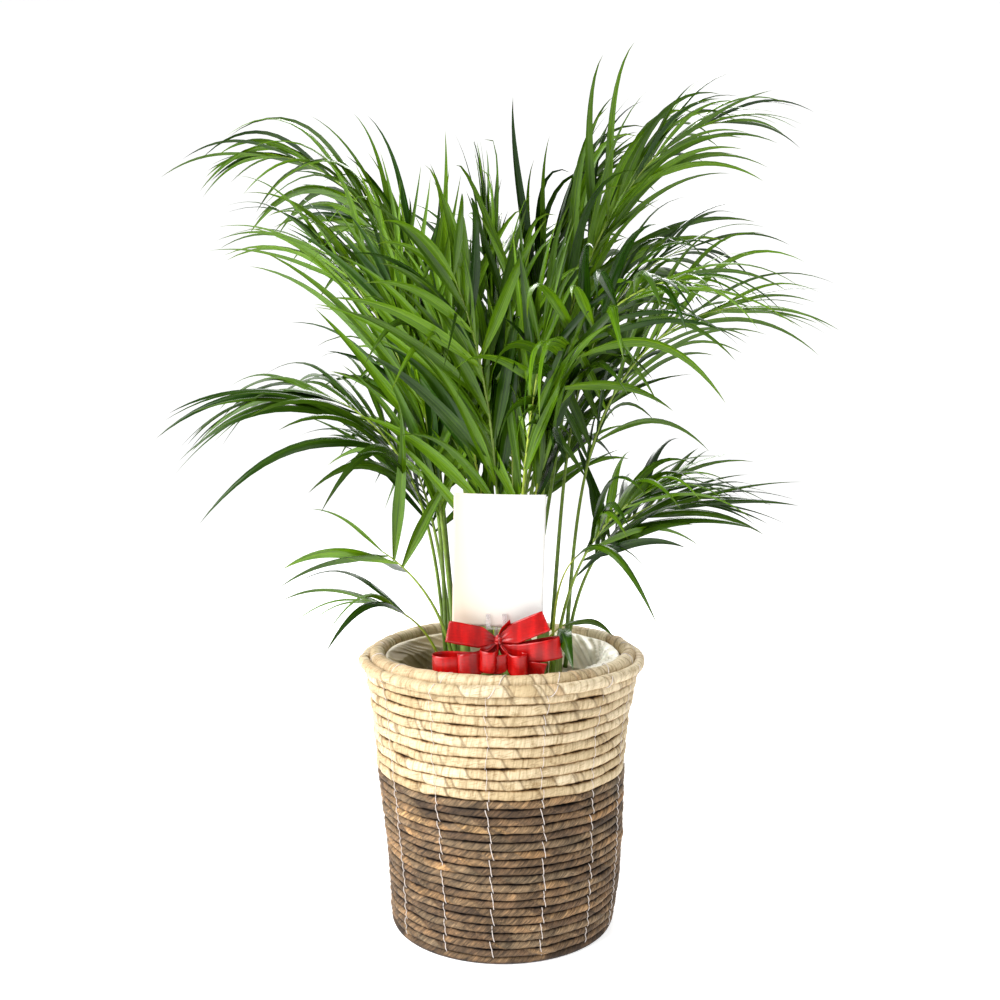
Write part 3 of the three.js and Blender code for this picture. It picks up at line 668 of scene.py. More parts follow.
def crumpled_film():
    """The film as a ring of sheet: up the wall, over at its edge, and down to the pot."""
    mesh = flat_sheet(420, 44)
    grid = points_of(mesh)
    turn = grid[:, 0] * math.pi
    share = (grid[:, 1] + 1) / 2
    stops = [0, 0.25, 0.36, 0.42, 0.7, 1]
    radii = [wall_radius(LINER_FOOT) - 13 * MM, wall_radius(wall_top) - 19 * MM,
             LINER_RADIUS, LINER_RADIUS - 3 * MM, LINER_RADIUS - 14 * MM, SLUMP_RADIUS]
    heights = [LINER_FOOT, wall_top - 6 * MM, LINER_TOP, LINER_TOP - 1 * MM, LINER_TOP - 12 * MM, SLUMP_TOP]
    radius = np.interp(share, stops, radii)
    height = np.interp(share, stops, heights)
    loose = np.clip((share - 0.3) * 5, 0, 1)
    free = loose * np.clip((1 - share) * 5, 0.2, 1)
    none = np.zeros(len(turn), dtype=int)
    right = 0.5 + 0.5 * np.cos(turn + 0.2)
    sway = ripple(turn + 0.5 * share, none, (3, 5, 9), 91)
    crease = 1 - np.abs(ripple(turn + 0.9 * share, none, (13, 23, 31), 93))
    fine = 1 - np.abs(ripple(turn - 1.4 * share, none, (37, 53), 94))
    edge = ripple(turn, none, (3, 7, 13), 92)
    radius = radius - free * (2 + 3 * sway + (2 + 4 * right) * crease ** 4 + 0.6 * right * fine ** 4) * MM
    height = height + free * (5 * right + 2.5 * edge + 3 * right * crease ** 4) * MM - 3 * MM * loose
    height = np.minimum(height, LINER_TOP + 1.5 * MM)
    move_points(mesh, around(turn, radius, height))
    lit = 0.10 + 0.85 * right + 0.35 * (crease ** 6 - 0.3) + 0.5 * np.exp(-((share - 0.37) / 0.03) ** 2)
    paint(mesh, "lit", np.clip(lit, 0, 1))
    bm = taken_up(mesh)
    bmesh.ops.remove_doubles(bm, verts=bm.verts[:], dist=0.01 * MM)
    return bm


film = piece("film_liner", crumpled_film(), film_material())
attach(film, "root")
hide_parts("liner")


def pot_material():
    material = new_material("black_pot_plastic", 0.45)
    grain = noise(material, 180.0, Detail=3.0)
    colour = ramp(material, grain, (0.3, (0.018, 0.017, 0.016)), (0.7, (0.035, 0.033, 0.031)))
    finish(material, colour, grain, 0.2, 0.3 * MM)
    return material


nursery_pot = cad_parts["nursery_pot"]
nursery_pot.data.materials.clear()
nursery_pot.data.materials.append(pot_material())


def soil_material():
    material = new_material("peat_and_bark", 0.95)
    grains = add(material, "TexVoronoi", 0, Vector=add(material, "TexCoord", "Object"), Scale=160.0)
    colour = ramp(material, noise(material, 70.0, Detail=5.0),
                  (0.3, (0.030, 0.018, 0.010)), (0.55, (0.075, 0.045, 0.025)), (0.75, (0.16, 0.10, 0.055)))
    colour = shade(material, colour, attribute(material, "tone"),
                   (0.0, (0.8, 0.8, 0.8)), (0.8, (1.3, 1.2, 1.1)), (1.0, (2.6, 2.3, 1.9)))
    finish(material, colour, grains, 0.9, 2 * MM)
    return material


def soil_plug():
    """The earth under the crumbs, a little narrower below, as the pot is."""
    bm = bmesh.new()
    bmesh.ops.create_circle(bm, cap_ends=True, segments=96, radius=soil_radius)
    bmesh.ops.translate(bm, verts=bm.verts[:], vec=(0, 0, soil_top - CRUMB_LAYER))
    below = bmesh.ops.extrude_face_region(bm, geom=bm.faces[:])
    lower = [item for item in below["geom"] if isinstance(item, bmesh.types.BMVert)]
    bmesh.ops.translate(bm, verts=lower, vec=(0, 0, -SOIL_SHOWN))
    bmesh.ops.scale(bm, verts=lower, vec=(0.93, 0.93, 1))
    return bm


def crumbs():
    """Small lumps of bark and peat, strewn over the earth at all angles."""
    rng = np.random.default_rng(21)
    corners = np.array([(1, 0, 0), (-1, 0, 0), (0, 1, 0), (0, -1, 0), (0, 0, 1), (0, 0, -1)])
    faces = np.array([(0, 2, 4), (2, 1, 4), (1, 3, 4), (3, 0, 4),
                      (2, 0, 5), (1, 2, 5), (3, 1, 5), (0, 3, 5)])
    parts = []
    for _ in range(CRUMBS):
        turn = rng.uniform(0, 2 * np.pi)
        reach = math.sqrt(rng.uniform(0, 1)) * (soil_radius - 3 * MM)
        size = rng.uniform(1.0, 3.4) * rng.uniform(0.5, 1.2, 3) * MM
        spun = Matrix.Rotation(rng.uniform(0, 6.28), 3, "Z") @ Matrix.Rotation(rng.uniform(0, 3), 3, "X")
        place = around(turn, reach, soil_top - 2.6 * MM + rng.uniform(0, 1.5) * MM)
        points = (corners * size * rng.uniform(0.7, 1.2, (6, 1))) @ np.array(spun) + place
        parts.append({"points": points, "faces": [faces], "values": {"tone": rng.random()}})
    return parts


earth = soil_material()
soil = piece("soil_fill", soil_plug(), earth, smooth=False)
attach(soil, "root")
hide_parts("soil")
crumb_layer = joined("soil_crumbs", crumbs(), earth)
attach(crumb_layer, "root")

# Canes. Eight young green canes stand in the soil, each swollen a little at its foot, ringed
# where old leaves came away and wrapped above in the sheaths of the living ones.
CANE_FOOT = 10.5
CANE_HEAD = 6.5
CANE_FLARE = 2.5
CANE_LIFT = 0.3
CANE_NODES = 6
CANE_ROWS = 60
CANE_SIDES = 20
CANES = [
    dict(node="stem_left", x=-40, y=-16, height=110, lean=3, heading=195),
    dict(node="stem_back_left", x=-16, y=26, height=150, lean=2, heading=120),
    dict(node="stem_front", x=6, y=-34, height=100, lean=2, heading=270),
    dict(node="stem_right", x=42, y=-14, height=120, lean=3, heading=-10),
    dict(node="stem_back_right", x=26, y=38, height=150, lean=2, heading=60),
    dict(node="stem_centre", x=0, y=-3, height=170, lean=1, heading=90),
    dict(node="stem_far_left", x=-52, y=24, height=100, lean=4, heading=160),
    dict(node="stem_far_right", x=60, y=20, height=100, lean=4, heading=10),
]


def cane_radius(level):
    return CANE_FOOT + (CANE_HEAD - CANE_FOOT) * level + CANE_FLARE * (1 - level) ** 8


def cane_point(cane, level):
    """A point in the middle of the cane, in millimetres, from 0 at the soil to 1 at its head."""
    out = cane["height"] * math.tan(math.radians(cane["lean"])) * level
    heading = math.radians(cane["heading"])
    return np.stack([cane["x"] + math.cos(heading) * out, cane["y"] + math.sin(heading) * out,
                     soil_top / MM + CANE_LIFT + cane["height"] * level], -1)


def cane_part(cane, seed):
    level = np.linspace(0, 1, CANE_ROWS)
    line = cane_point(cane, level)
    rings = np.exp(-(((level * CANE_NODES + 0.3 * seed) % 1 - 0.5) / 0.07) ** 2)
    radii = cane_radius(level) * (1 - 0.03 * (level * CANE_NODES % 1)) + 0.35 * rings
    radii[-3:] *= (0.96, 0.75, 0.3)
    across = np.tile((1.0, 0.0, 0.0), (CANE_ROWS, 1))
    points = tube_points(line, across, radii, CANE_SIDES)
    turn = np.tile(np.arange(CANE_SIDES) / CANE_SIDES * 2 * np.pi, CANE_ROWS)
    fold = 0.5 * np.sin(turn * 2 + np.repeat(level, CANE_SIDES) * 5 + seed)
    middle = np.repeat(line, CANE_SIDES, axis=0)
    points = middle + (points - middle) * (1 + 0.05 * fold)[:, None]
    return {"points": points * MM, "faces": tube_faces(CANE_ROWS, CANE_SIDES),
            "values": {"level": np.repeat(level, CANE_SIDES), "ring": np.repeat(rings, CANE_SIDES)}}


def cane_material():
    material = new_material("green_cane", 0.5)
    streaks = noise(material, (900, 900, 60), Detail=4.0)
    colour = ramp(material, attribute(material, "level"),
                  (0.0, (0.13, 0.10, 0.04)), (0.2, (0.17, 0.20, 0.05)), (1.0, (0.22, 0.34, 0.07)))
    colour = shade(material, colour, streaks, (0.3, (0.7, 0.72, 0.6)), (0.65, (1.15, 1.12, 1.0)))
    scar = reckon(material, "MULTIPLY", attribute(material, "ring"), 0.7)
    colour = stain(material, colour, scar, (0.28, 0.22, 0.11))
    finish(material, colour, streaks, 0.35, 0.3 * MM)
    return material


canes = joined("canes", [cane_part(cane, i) for i, cane in enumerate(CANES)], cane_material())
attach(canes, "root")
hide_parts(*[cane["node"] for cane in CANES])

# Ribs of the fronds. Each frond springs from a cane on a smooth petiole, which runs on as a
# tapering rachis and arches over, rolling a little to its side as it rises.
HABIT = dict(petiole=0.38, pairs=12, leaf=220, width=18, spread=40, close=15, droop=0.25, lift=16, roll=0)
FRONDS = [
    dict(name="left_arch", tone="mid", cane=0, level=0.95, heading=168, lean=5, arch=80, bend=3.8,
         length=645, pairs=14, leaf=215, droop=0.7, lift=10, roll=25, spread=36),
    dict(name="left_mid", tone="bright", cane=6, level=0.96, heading=200, lean=2, arch=46, bend=2,
         length=490, leaf=230, roll=25, droop=0.4),
    dict(name="left_low", tone="deep", cane=6, level=0.7, heading=172, lean=5, arch=98, bend=2.4,
         length=430, petiole=0.44, leaf=240, width=21, droop=0.62, spread=56, close=20, lift=2, roll=-10),
    dict(name="left_small", tone="mid", cane=0, level=0.5, heading=186, lean=6, arch=50, bend=1.2,
         length=180, petiole=0.8, pairs=2, leaf=190, width=22, spread=62, close=30, droop=0.35, lift=24,
         roll=40),
    dict(name="left_smaller", tone="mid", cane=6, level=0.3, heading=204, lean=9, arch=60, bend=1.4,
         length=140, petiole=0.8, pairs=2, leaf=190, width=20, spread=30, droop=0.7),
    dict(name="left_back", tone="deep", cane=1, level=0.7, heading=150, lean=5, arch=36, bend=1.8,
         length=470, roll=-20, droop=0.2, spread=30),
    dict(name="left_front", tone="bright", cane=0, level=0.7, heading=205, lean=5, arch=14, bend=1.9,
         length=430, pairs=11, roll=60, droop=0.15, spread=20, close=10, lift=6),
    dict(name="up_left", tone="bright", cane=1, level=0.96, heading=176, lean=4, arch=40, bend=2.4,
         length=490, spread=30, droop=0.32, roll=50, leaf=205),
    dict(name="up_middle", tone="fresh", cane=5, level=0.9, heading=110, lean=2, arch=12, bend=2.3,
         length=440, leaf=210, spread=30, droop=0.3, roll=70),
    dict(name="up_centre", tone="mid", cane=5, level=0.97, heading=20, lean=2, arch=34, bend=2.7,
         length=490, pairs=13, leaf=205, spread=28, droop=0.35, roll=-50),
    dict(name="up_front", tone="mid", cane=2, level=0.95, heading=242, lean=3, arch=40, bend=2.3,
         length=440, leaf=200, roll=45, droop=0.35, spread=28, pairs=9, width=21),
    dict(name="up_right", tone="mid", cane=4, level=0.96, heading=14, lean=9, arch=70, bend=4.2, length=655,
         pairs=14, leaf=205, spread=30, droop=0.4, roll=-15),
    dict(name="up_right_front", tone="fresh", cane=5, level=0.75, heading=-16, lean=9, arch=38, bend=3.4,
         length=560, pairs=13, leaf=215, spread=28, droop=0.35, roll=-40),
    dict(name="up_back", tone="deep", cane=1, level=0.8, heading=85, lean=6, arch=60, bend=2, length=560),
    dict(name="right_arch", tone="deep", cane=3, level=0.95, heading=12, lean=4, arch=74, bend=3.4,
         length=505, leaf=190, spread=56, close=26, droop=0.6, lift=8, roll=-25, width=15),
    dict(name="right_mid", tone="mid", cane=7, level=0.95, heading=-14, lean=4, arch=86, bend=2.7,
         length=480, leaf=205, spread=52, droop=0.45, lift=12, roll=-15, width=15),
    dict(name="right_low", tone="deep", cane=7, level=0.6, heading=12, lean=6, arch=90, bend=1.7,
         length=290, petiole=0.46, pairs=10, leaf=175, width=19, spread=56, close=20, droop=0.3, roll=10),
    dict(name="right_low_front", tone="mid", cane=3, level=0.25, heading=-32, lean=7, arch=60, bend=2,
         length=300, petiole=0.5, pairs=9, leaf=185, width=19, spread=54, close=20, droop=0.5, roll=-10),
    dict(name="right_small", tone="mid", cane=3, level=0.45, heading=-15, lean=2, arch=56, bend=3.6,
         length=166, petiole=0.88, pairs=1, leaf=172, spread=24, droop=2.1, close=24, lift=-10),
    dict(name="right_back", tone="deep", cane=4, level=0.7, heading=52, lean=6, arch=40, bend=1.8,
         length=450, roll=20, spread=30),
    dict(name="right_front", tone="fresh", cane=5, level=0.6, heading=-50, lean=7, arch=84, bend=2.2,
         length=520, pairs=11, leaf=190, droop=0.8, petiole=0.55, spread=60, close=25),
    dict(name="front_left", tone="fresh", cane=2, level=0.65, heading=204, lean=4, arch=16, bend=1.8,
         length=400, pairs=10, leaf=200, roll=60, droop=0.2, spread=22, close=10),
    dict(name="front_right", tone="mid", cane=2, level=0.5, heading=296, lean=4, arch=18, bend=1.8,
         length=420, pairs=10, leaf=200, roll=-50, droop=0.2, spread=24, close=10),
    dict(name="centre_broad", tone="mid", cane=2, level=0.8, heading=340, lean=4, arch=14, bend=1.8,
         length=300, petiole=0.6, pairs=4, leaf=170, width=36, spread=30, droop=0.3, close=14),
    dict(name="back_low", tone="deep", cane=6, level=0.6, heading=112, lean=14, arch=66, bend=1.4,
         length=380, petiole=0.45, pairs=10, leaf=210),
    dict(name="back_low_right", tone="mid", cane=4, level=0.5, heading=88, lean=14, arch=66, bend=1.4,
         length=380, petiole=0.45, pairs=10, leaf=210),
    dict(name="rim_leaf", tone="mid", cane=2, level=0.3, heading=-32, lean=12, arch=44, bend=1.3,
         length=124, petiole=0.9, pairs=1, leaf=91, width=27, droop=0.9, spread=58, close=58, lift=10),
]
FRONDS = [{**HABIT, **frond} for frond in FRONDS]
SPINE_STEPS = 48
ROLL_IN = 0.35
RIB_FOOT = 3.4
RIB_TIP = 0.7
RIB_SIDES = 8
CLEAR = 0.45


def rand(k):
    """A number from 0 to 1 that depends only on k, as in the part's source."""
    value = np.sin(k * 12.9898 + 78.233) * 43758.5453
    return value - np.floor(value)


def spine_frames(frond, share):
    """Directions along the spine, across it and towards its upper side, at shares of its length."""
    share = np.asarray(share, dtype=float)
    lean = np.radians(frond["lean"] + frond["arch"] * share ** frond["bend"])
    heading = math.radians(frond["heading"])
    along = np.stack([np.sin(lean) * math.cos(heading), np.sin(lean) * math.sin(heading), np.cos(lean)], -1)
    across = np.broadcast_to((-math.sin(heading), math.cos(heading), 0.0), along.shape)
    top = np.cross(along, across)
    roll = np.radians(frond["roll"] * np.minimum(1, share / ROLL_IN))[..., None]
    side = across * np.cos(roll) + top * np.sin(roll)
    return along, side, top * np.cos(roll) - across * np.sin(roll)


def spine(frond):
    """Points along the petiole and rachis, in millimetres, from beside the cane to the tip."""
    cane = CANES[frond["cane"]]
    heading = math.radians(frond["heading"])
    out = cane_radius(frond["level"]) + RIB_FOOT + CLEAR
    foot = cane_point(cane, frond["level"]) + np.array([math.cos(heading) * out, math.sin(heading) * out, 0])
    along, _, _ = spine_frames(frond, (np.arange(SPINE_STEPS) + 0.5) / SPINE_STEPS)
    steps = np.cumsum(along * frond["length"] / SPINE_STEPS, axis=0)
    return np.concatenate([foot[None], foot + steps])


def point_on(points, share):
    place = np.linspace(0, 1, len(points))
    return np.stack([np.interp(share, place, points[:, axis]) for axis in range(3)], -1)


def rib_part(frond, points, index):
    share = np.linspace(0, 1, SPINE_STEPS + 1)
    _, side, _ = spine_frames(frond, share)
    radii = RIB_FOOT + (RIB_TIP - RIB_FOOT) * share ** 0.8
    rings = tube_points(points, side, radii, RIB_SIDES, 0.85)
    return {"points": rings * MM, "faces": tube_faces(SPINE_STEPS + 1, RIB_SIDES),
            "values": {"share": np.repeat(share, RIB_SIDES), "tone": rand(index * 7.3)}}


def rib_material():
    material = new_material("frond_rib", 0.42)
    colour = ramp(material, attribute(material, "share"),
                  (0.0, (0.10, 0.17, 0.020)), (0.25, (0.20, 0.31, 0.030)), (0.8, (0.38, 0.49, 0.06)))
    colour = shade(material, colour, attribute(material, "tone"),
                   (0.0, (0.40, 0.46, 0.42)), (0.5, (0.80, 0.86, 0.75)), (1.0, (1.40, 1.25, 1.0)))
    mottle = noise(material, 140.0, Detail=4.0)
    colour = shade(material, colour, mottle, (0.35, (0.75, 0.72, 0.6)), (0.6, (1.1, 1.1, 1.0)))
    finish(material, colour, mottle, 0.15, 0.3 * MM)
    return material


rib_finish = rib_material()
spines = [spine(frond) for frond in FRONDS]
rib_parts = [rib_part(frond, points, i) for i, (frond, points) in enumerate(zip(FRONDS, spines))]
ribs = joined("frond_ribs", rib_parts, rib_finish)
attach(ribs, "root")

# Spears. The next two fronds, still rolled up: pale green pleated spikes that stand beside
# their canes and narrow to a point.
SPEAR_SIDES = 12
SPEARS = [
    dict(name="spear_centre", cane=2, level=0.9, heading=60, lean=1, arch=4, bend=2, length=330, roll=0),
    dict(name="spear_back", cane=4, level=0.9, heading=200, lean=1, arch=6, bend=2, length=400, roll=0),
]


def spear_part(spear):
    points = spine(spear)
    share = np.linspace(0, 1, SPINE_STEPS + 1)
    _, side, _ = spine_frames(spear, share)
    radii = (RIB_FOOT + 0.6 * np.sin(np.pi * np.minimum(1, share * 1.6))) * (1.02 - share ** 3)
    rings = tube_points(points, side, radii, SPEAR_SIDES)
    middle = np.repeat(points, SPEAR_SIDES, axis=0)
    pleat = np.tile(1 - 0.14 * (np.arange(SPEAR_SIDES) % 2), SPINE_STEPS + 1)
    rings = middle + (rings - middle) * pleat[:, None]
    return {"points": rings * MM, "faces": tube_faces(SPINE_STEPS + 1, SPEAR_SIDES),
            "values": {"share": np.repeat(share, SPEAR_SIDES), "tone": 0.9}}


spears = joined("spears", [spear_part(spear) for spear in SPEARS], rib_finish)
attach(spears, "root")
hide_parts("spear_centre", "spear_back")

# Leaflets. Two ranks along each rachis, long narrow blades folded along the midrib, that run to fine
# drooping tips; young fronds are a fresh yellow green and old ones a deep green, and the bright green of a
# few fronds at the centre left is painted light, standing in for light shining through them from behind.
LEAF_GROWTH = 1.6
LEAF_SLIM = 0.86
LEAF_ROWS = 15
LEAF_ACROSS = np.array([-1.0, -0.5, 0.0, 0.5, 1.0])
LEAF_ROOT = 1.2
HANG_OUT = 0.3
FULLEST = 0.36
UNEVEN_OPENING = 34
UNEVEN_LIFT = 46
UNEVEN_TWIST = 1.2
VEINS_ACROSS = 11.0
VEINS_ALONG = 2.0
NEXT_LEAF = 50.0
CARD_SPAN = (-66, 50)
CARD_BACK = -72
CARD_HEIGHTS = (330, 530)
RIM_SPAN = (136, 178)
RIM_CLEARED = 329


def blade_faces(rows, columns):
    """Faces of a blade that is a grid of points, whose last row lies in one tip."""
    row = np.arange(rows - 1)[:, None] * columns
    near = (row + np.arange(columns - 1)).ravel()
    return [np.stack([near, near + 1, near + columns + 1, near + columns], 1)]


LEAF_FACES = blade_faces(LEAF_ROWS, len(LEAF_ACROSS))


def carried(side, run):
    """Carries a direction along a line without a twist, so that it stays square to its run."""
    kept = []
    for ahead in run:
        side = side - ahead * side.dot(ahead)
        side = side / math.sqrt(side.dot(side))
        kept.append(side)
    return np.array(kept)


def leaflet_part(frond, index, points, pairs, i, hand):
    """One leaflet of pair i, on the side of the rachis that hand says. It leaves the rachis at
    its own angle, falls more and more towards its tip and turns a little on its own midrib."""
    k = index * 101 + i * 7 + (3 if hand > 0 else 0)
    t = np.clip((i + 0.25 + 0.22 * hand + 0.2 * (rand(k) - 0.5)) / (pairs - 0.5), 0, 1)
    share = frond["petiole"] + (1 - frond["petiole"]) * t
    along, side, top = spine_frames(frond, share)
    shape = 1 - 1.05 * (t - FULLEST) ** 2
    opening = frond["spread"] * (1 - t) + frond["close"] * t + UNEVEN_OPENING * (rand(k + 2) - 0.5)
    lift = math.radians(frond["lift"] * (1 - 0.6 * t) + UNEVEN_LIFT * (rand(k + 3) - 0.5))
    way = side * hand * math.cos(lift) + top * math.sin(lift)
    way = way * math.sin(math.radians(opening)) + along * math.cos(math.radians(opening))
    flat = unit(along - way * along.dot(way))
    length = frond["leaf"] * shape * (0.8 + 0.4 * rand(k + 1))
    width = LEAF_SLIM * frond["width"] * math.sqrt(shape) * (0.85 + 0.3 * rand(k + 5)) * (1 - 0.35 * t ** 2)
    droop = frond["droop"] * (0.5 + 1.0 * rand(k + 4))
    u = np.linspace(0, 1, LEAF_ROWS)
    middle = (u[1:] + u[:-1]) / 2
    heading = math.radians(frond["heading"])
    pull = np.array([HANG_OUT * math.cos(heading), HANG_OUT * math.sin(heading), -1.0])
    steps = unit(way + pull * 2.4 * droop * middle[:, None] ** 1.8)
    line = point_on(points, share) - way * LEAF_ROOT
    line = np.concatenate([line[None], line + np.cumsum(steps * length / (LEAF_ROWS - 1), axis=0)])
    run = unit(np.gradient(line, axis=0))
    twist = (rand(k + 6) - 0.5) * UNEVEN_TWIST * u[:, None]
    across = carried(flat, run)
    over = -hand * np.cross(run, across)
    cosine, sine = np.cos(twist), np.sin(twist)
    across, over = across * cosine + over * sine, over * cosine - across * sine
    half = (width / 2 * np.minimum(1, 0.16 + 2.6 * u) * (1 - u ** 1.7))[:, None]
    fold = np.abs(LEAF_ACROSS) * (0.75 - 0.4 * u[:, None]) + 0.04 * (LEAF_ACROSS ** 2 < 0.5)
    grid = line[:, None, :] + across[:, None, :] * (half * LEAF_ACROSS)[..., None]
    grid = grid - over[:, None, :] * (half * fold)[..., None]
    return {"points": grid.reshape(-1, 3) * MM, "faces": LEAF_FACES,
            "values": {"along": np.repeat(u, len(LEAF_ACROSS)), "across": np.tile(LEAF_ACROSS, LEAF_ROWS),
                       "tone": rand(k + 8)}}


def leaf_material(name, deep, bright):
    """Green leaf with fine parallel veins, a paler midrib and leaflets that differ in tone."""
    material = new_material(name, 0.24, Specular_IOR_Level=0.26)
    along, across = attribute(material, "along"), attribute(material, "across")
    own = attribute(material, "tone")
    patches = noise(material, 18.0, Detail=4.0)
    mixed = reckon(material, "ADD", reckon(material, "MULTIPLY", own, 0.6),
                   reckon(material, "MULTIPLY", patches, 0.4))
    colour = ramp(material, mixed, (0.22, deep), (0.72, bright))
    lines = add(material, "CombineXYZ", 0, X=reckon(material, "MULTIPLY", across, VEINS_ACROSS),
                Y=reckon(material, "MULTIPLY", along, VEINS_ALONG),
                Z=reckon(material, "MULTIPLY", own, NEXT_LEAF))
    veins = add(material, "TexNoise", 0, Vector=lines, Scale=1.0, Detail=3.0, Roughness=0.6)
    colour = shade(material, colour, veins,
                   (0.34, (0.50, 0.57, 0.55)), (0.5, (0.98, 0.97, 0.96)), (0.64, (1.50, 1.36, 1.20)))
    colour = shade(material, colour, along, (0.0, (1.25, 1.12, 1.0)), (0.25, (1, 1, 1)),
                   (0.85, (0.86, 0.88, 0.9)), (1.0, (1.1, 0.85, 0.7)))
    from_midrib = reckon(material, "ABSOLUTE", across)
    colour = shade(material, colour, from_midrib, (0.0, (1.7, 1.5, 1.5)), (0.10, (1, 1, 1)))
    finish(material, colour, veins, 0.16, 0.5 * MM)
    return material


def inside(value, low, high):
    return (value > low) & (value < high)


def clear_of_basket(part):
    """Says whether a leaflet keeps off the card, the bow in front of it and the rim."""
    x, y, z = part["points"].T / MM
    before_card = inside(x, *CARD_SPAN) & (y < CARD_BACK) & inside(z, *CARD_HEIGHTS)
    in_rim = inside(np.hypot(x, y), *RIM_SPAN) & (z < RIM_CLEARED)
    return not (before_card | in_rim).any()


# Each tone's darker and lighter green. The bright tone, dealt to fronds at the centre left, is painted
# light: a lighter green standing in for light shining through their leaflets from behind.
LEAF_COLOURS = {
    "mid": ((0.009, 0.035, 0.001), (0.092, 0.200, 0.004)),
    "fresh": ((0.012, 0.046, 0.001), (0.098, 0.212, 0.004)),
    "bright": ((0.016, 0.060, 0.001), (0.112, 0.235, 0.005)),
    "deep": ((0.010, 0.036, 0.002), (0.050, 0.115, 0.004)),
}
for tone, greens in LEAF_COLOURS.items():
    finish_name = "leaf_" + tone
    leaflets = []
    for index, (frond, points) in enumerate(zip(FRONDS, spines)):
        if frond["tone"] != tone:
            continue
        pairs = round(frond["pairs"] * LEAF_GROWTH) if frond["pairs"] > 1 else 1
        for i in range(pairs):
            leaflets += [leaflet_part(frond, index, points, pairs, i, hand) for hand in (-1, 1)]
    leaflets = [part for part in leaflets if clear_of_basket(part)]
    foliage = joined(finish_name, leaflets, leaf_material(finish_name, *greens))
    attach(foliage, "root")
    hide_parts(*["frond_" + frond["name"] for frond in FRONDS if frond["tone"] == tone])

# Gift card and pick. A plain off-white card, a little curled, that stands on the ledge of a
# clear plastic pick between two short fingers in front and one behind.
CARD_WIDE = 100 * MM
CARD_HIGH = 148 * MM
CARD_THICK = 0.8 * MM
CARD_BOW = 4 * MM
CARD_PLACE = (-6 * MM, -92 * MM, 371 * MM)
CARD_LEAN = math.radians(6)
CARD_TURN = math.radians(1.2)


def sheet(along, across, shape, thick):
    """A sheet put into shape, with its thickness: shape turns two arrays, each from -1 to 1,
    into the points of the sheet."""
    mesh = flat_sheet(along, across)
    grid = points_of(mesh)
    move_points(mesh, shape(grid[:, 0], grid[:, 1]))
    bm = taken_up(mesh)
    bmesh.ops.recalc_face_normals(bm, faces=bm.faces[:])
    bmesh.ops.solidify(bm, geom=bm.faces[:], thickness=thick)
    return bm


def card_shape(a, b):
    x = a * CARD_WIDE / 2
    z = (b + 1) / 2 * CARD_HIGH
    curl = 3 * MM * np.clip(-a - 0.4, 0, 1) ** 2 * (1.4 - (b + 1) / 2)
    y = -CARD_BOW * (1 - a ** 2) + curl + 0.5 * MM * np.sin(b * 2.5 + a)
    lean, turn = CARD_LEAN, CARD_TURN
    y, z = y * math.cos(lean) - z * math.sin(lean), y * math.sin(lean) + z * math.cos(lean)
    x, z = x * math.cos(turn) + z * math.sin(turn), z * math.cos(turn) - x * math.sin(turn)
    return np.stack([x, y, z], 1) + np.array(CARD_PLACE)


def card_material():
    """Matt white card, with a warmer, darker painted shade towards its left edge and the foot of that side,
    where the leaves shade it.
    """
    material = new_material("off_white_card", 0.55)
    wash = noise(material, 9.0, Detail=1.0)
    colour = ramp(material, wash, (0.4, (0.70, 0.685, 0.65)), (0.62, (0.75, 0.74, 0.715)))
    # Painted shade: a warmer, darker tint.
    colour = shade(material, colour, attribute(material, "card_shade"),
                   (0.0, (1, 1, 1)), (0.5, (0.92, 0.86, 0.78)), (1.0, (0.80, 0.68, 0.56)))
    finish(material, colour, noise(material, 900.0, Detail=2.0), 0.12, 0.1 * MM)
    return material


card = piece("gift_card", sheet(36, 48, card_shape, CARD_THICK), card_material())
card_x, _, card_z = (points_of(card.data) - np.array(CARD_PLACE)).T
# Painted shade: grows towards the card's left edge and its lower left corner.
left_share = np.clip(0.5 - card_x / CARD_WIDE, 0, 1)
card_shade = 1.15 * left_share ** 3 + 0.5 * left_share * np.exp(-card_z / (30 * MM))
paint(card.data, "card_shade", np.clip(card_shade, 0, 1))
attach(card, "root")
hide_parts("gift_card")


def clear_material():
    material = new_material("clear_plastic", 0.08, IOR=1.49, Alpha=0.38)
    haze = noise(material, 120.0)
    colour = ramp(material, haze, (0.3, (0.50, 0.46, 0.46)), (0.7, (0.68, 0.64, 0.64)))
    finish(material, colour, haze, 0.05, 0.1 * MM)
    return material


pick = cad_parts["card_pick"]
pick.data.materials.clear()
pick_plastic = clear_material()
pick.data.materials.append(pick_plastic)

# Bow. Red satin ribbon folded into nine loops and two cut ends, which all run to one knot in
# front of the pick. The lower loops stand on edge just inside the rim.
RIBBON_WIDE = 23
RIBBON_THICK = 0.3 * MM
FALL_OVER = 26
GATHERED = 0.2
PLEAT = 1.8
KNOT = (-5 * MM, -107.5 * MM, 357 * MM)
BOW_LOOPS = [
    dict(reach=57, fat=3, heading=186, rise=12, twist=10, drop=0),
    dict(reach=58, fat=3, heading=-8, rise=25, twist=-10, drop=0),
    dict(reach=72, fat=14, heading=181, rise=0, twist=0, drop=26),
    dict(reach=70, fat=9, heading=-5, rise=10, twist=0, drop=18),
    dict(reach=47, fat=9, heading=203, rise=0, twist=5, drop=22),
    dict(reach=27, fat=10, heading=237, rise=0, twist=-3, drop=18),
    dict(reach=36, fat=10, heading=-33, rise=0, twist=4, drop=23),
    dict(reach=17, fat=13, heading=262, rise=0, twist=0, drop=26),
    dict(reach=34, fat=12, heading=20, rise=0, twist=0, drop=24),
]
BOW_TAILS = [
    dict(reach=23, heading=8, rise=52, twist=58, drop=0),
    dict(reach=52, heading=-13, rise=0, twist=20, drop=31),
]


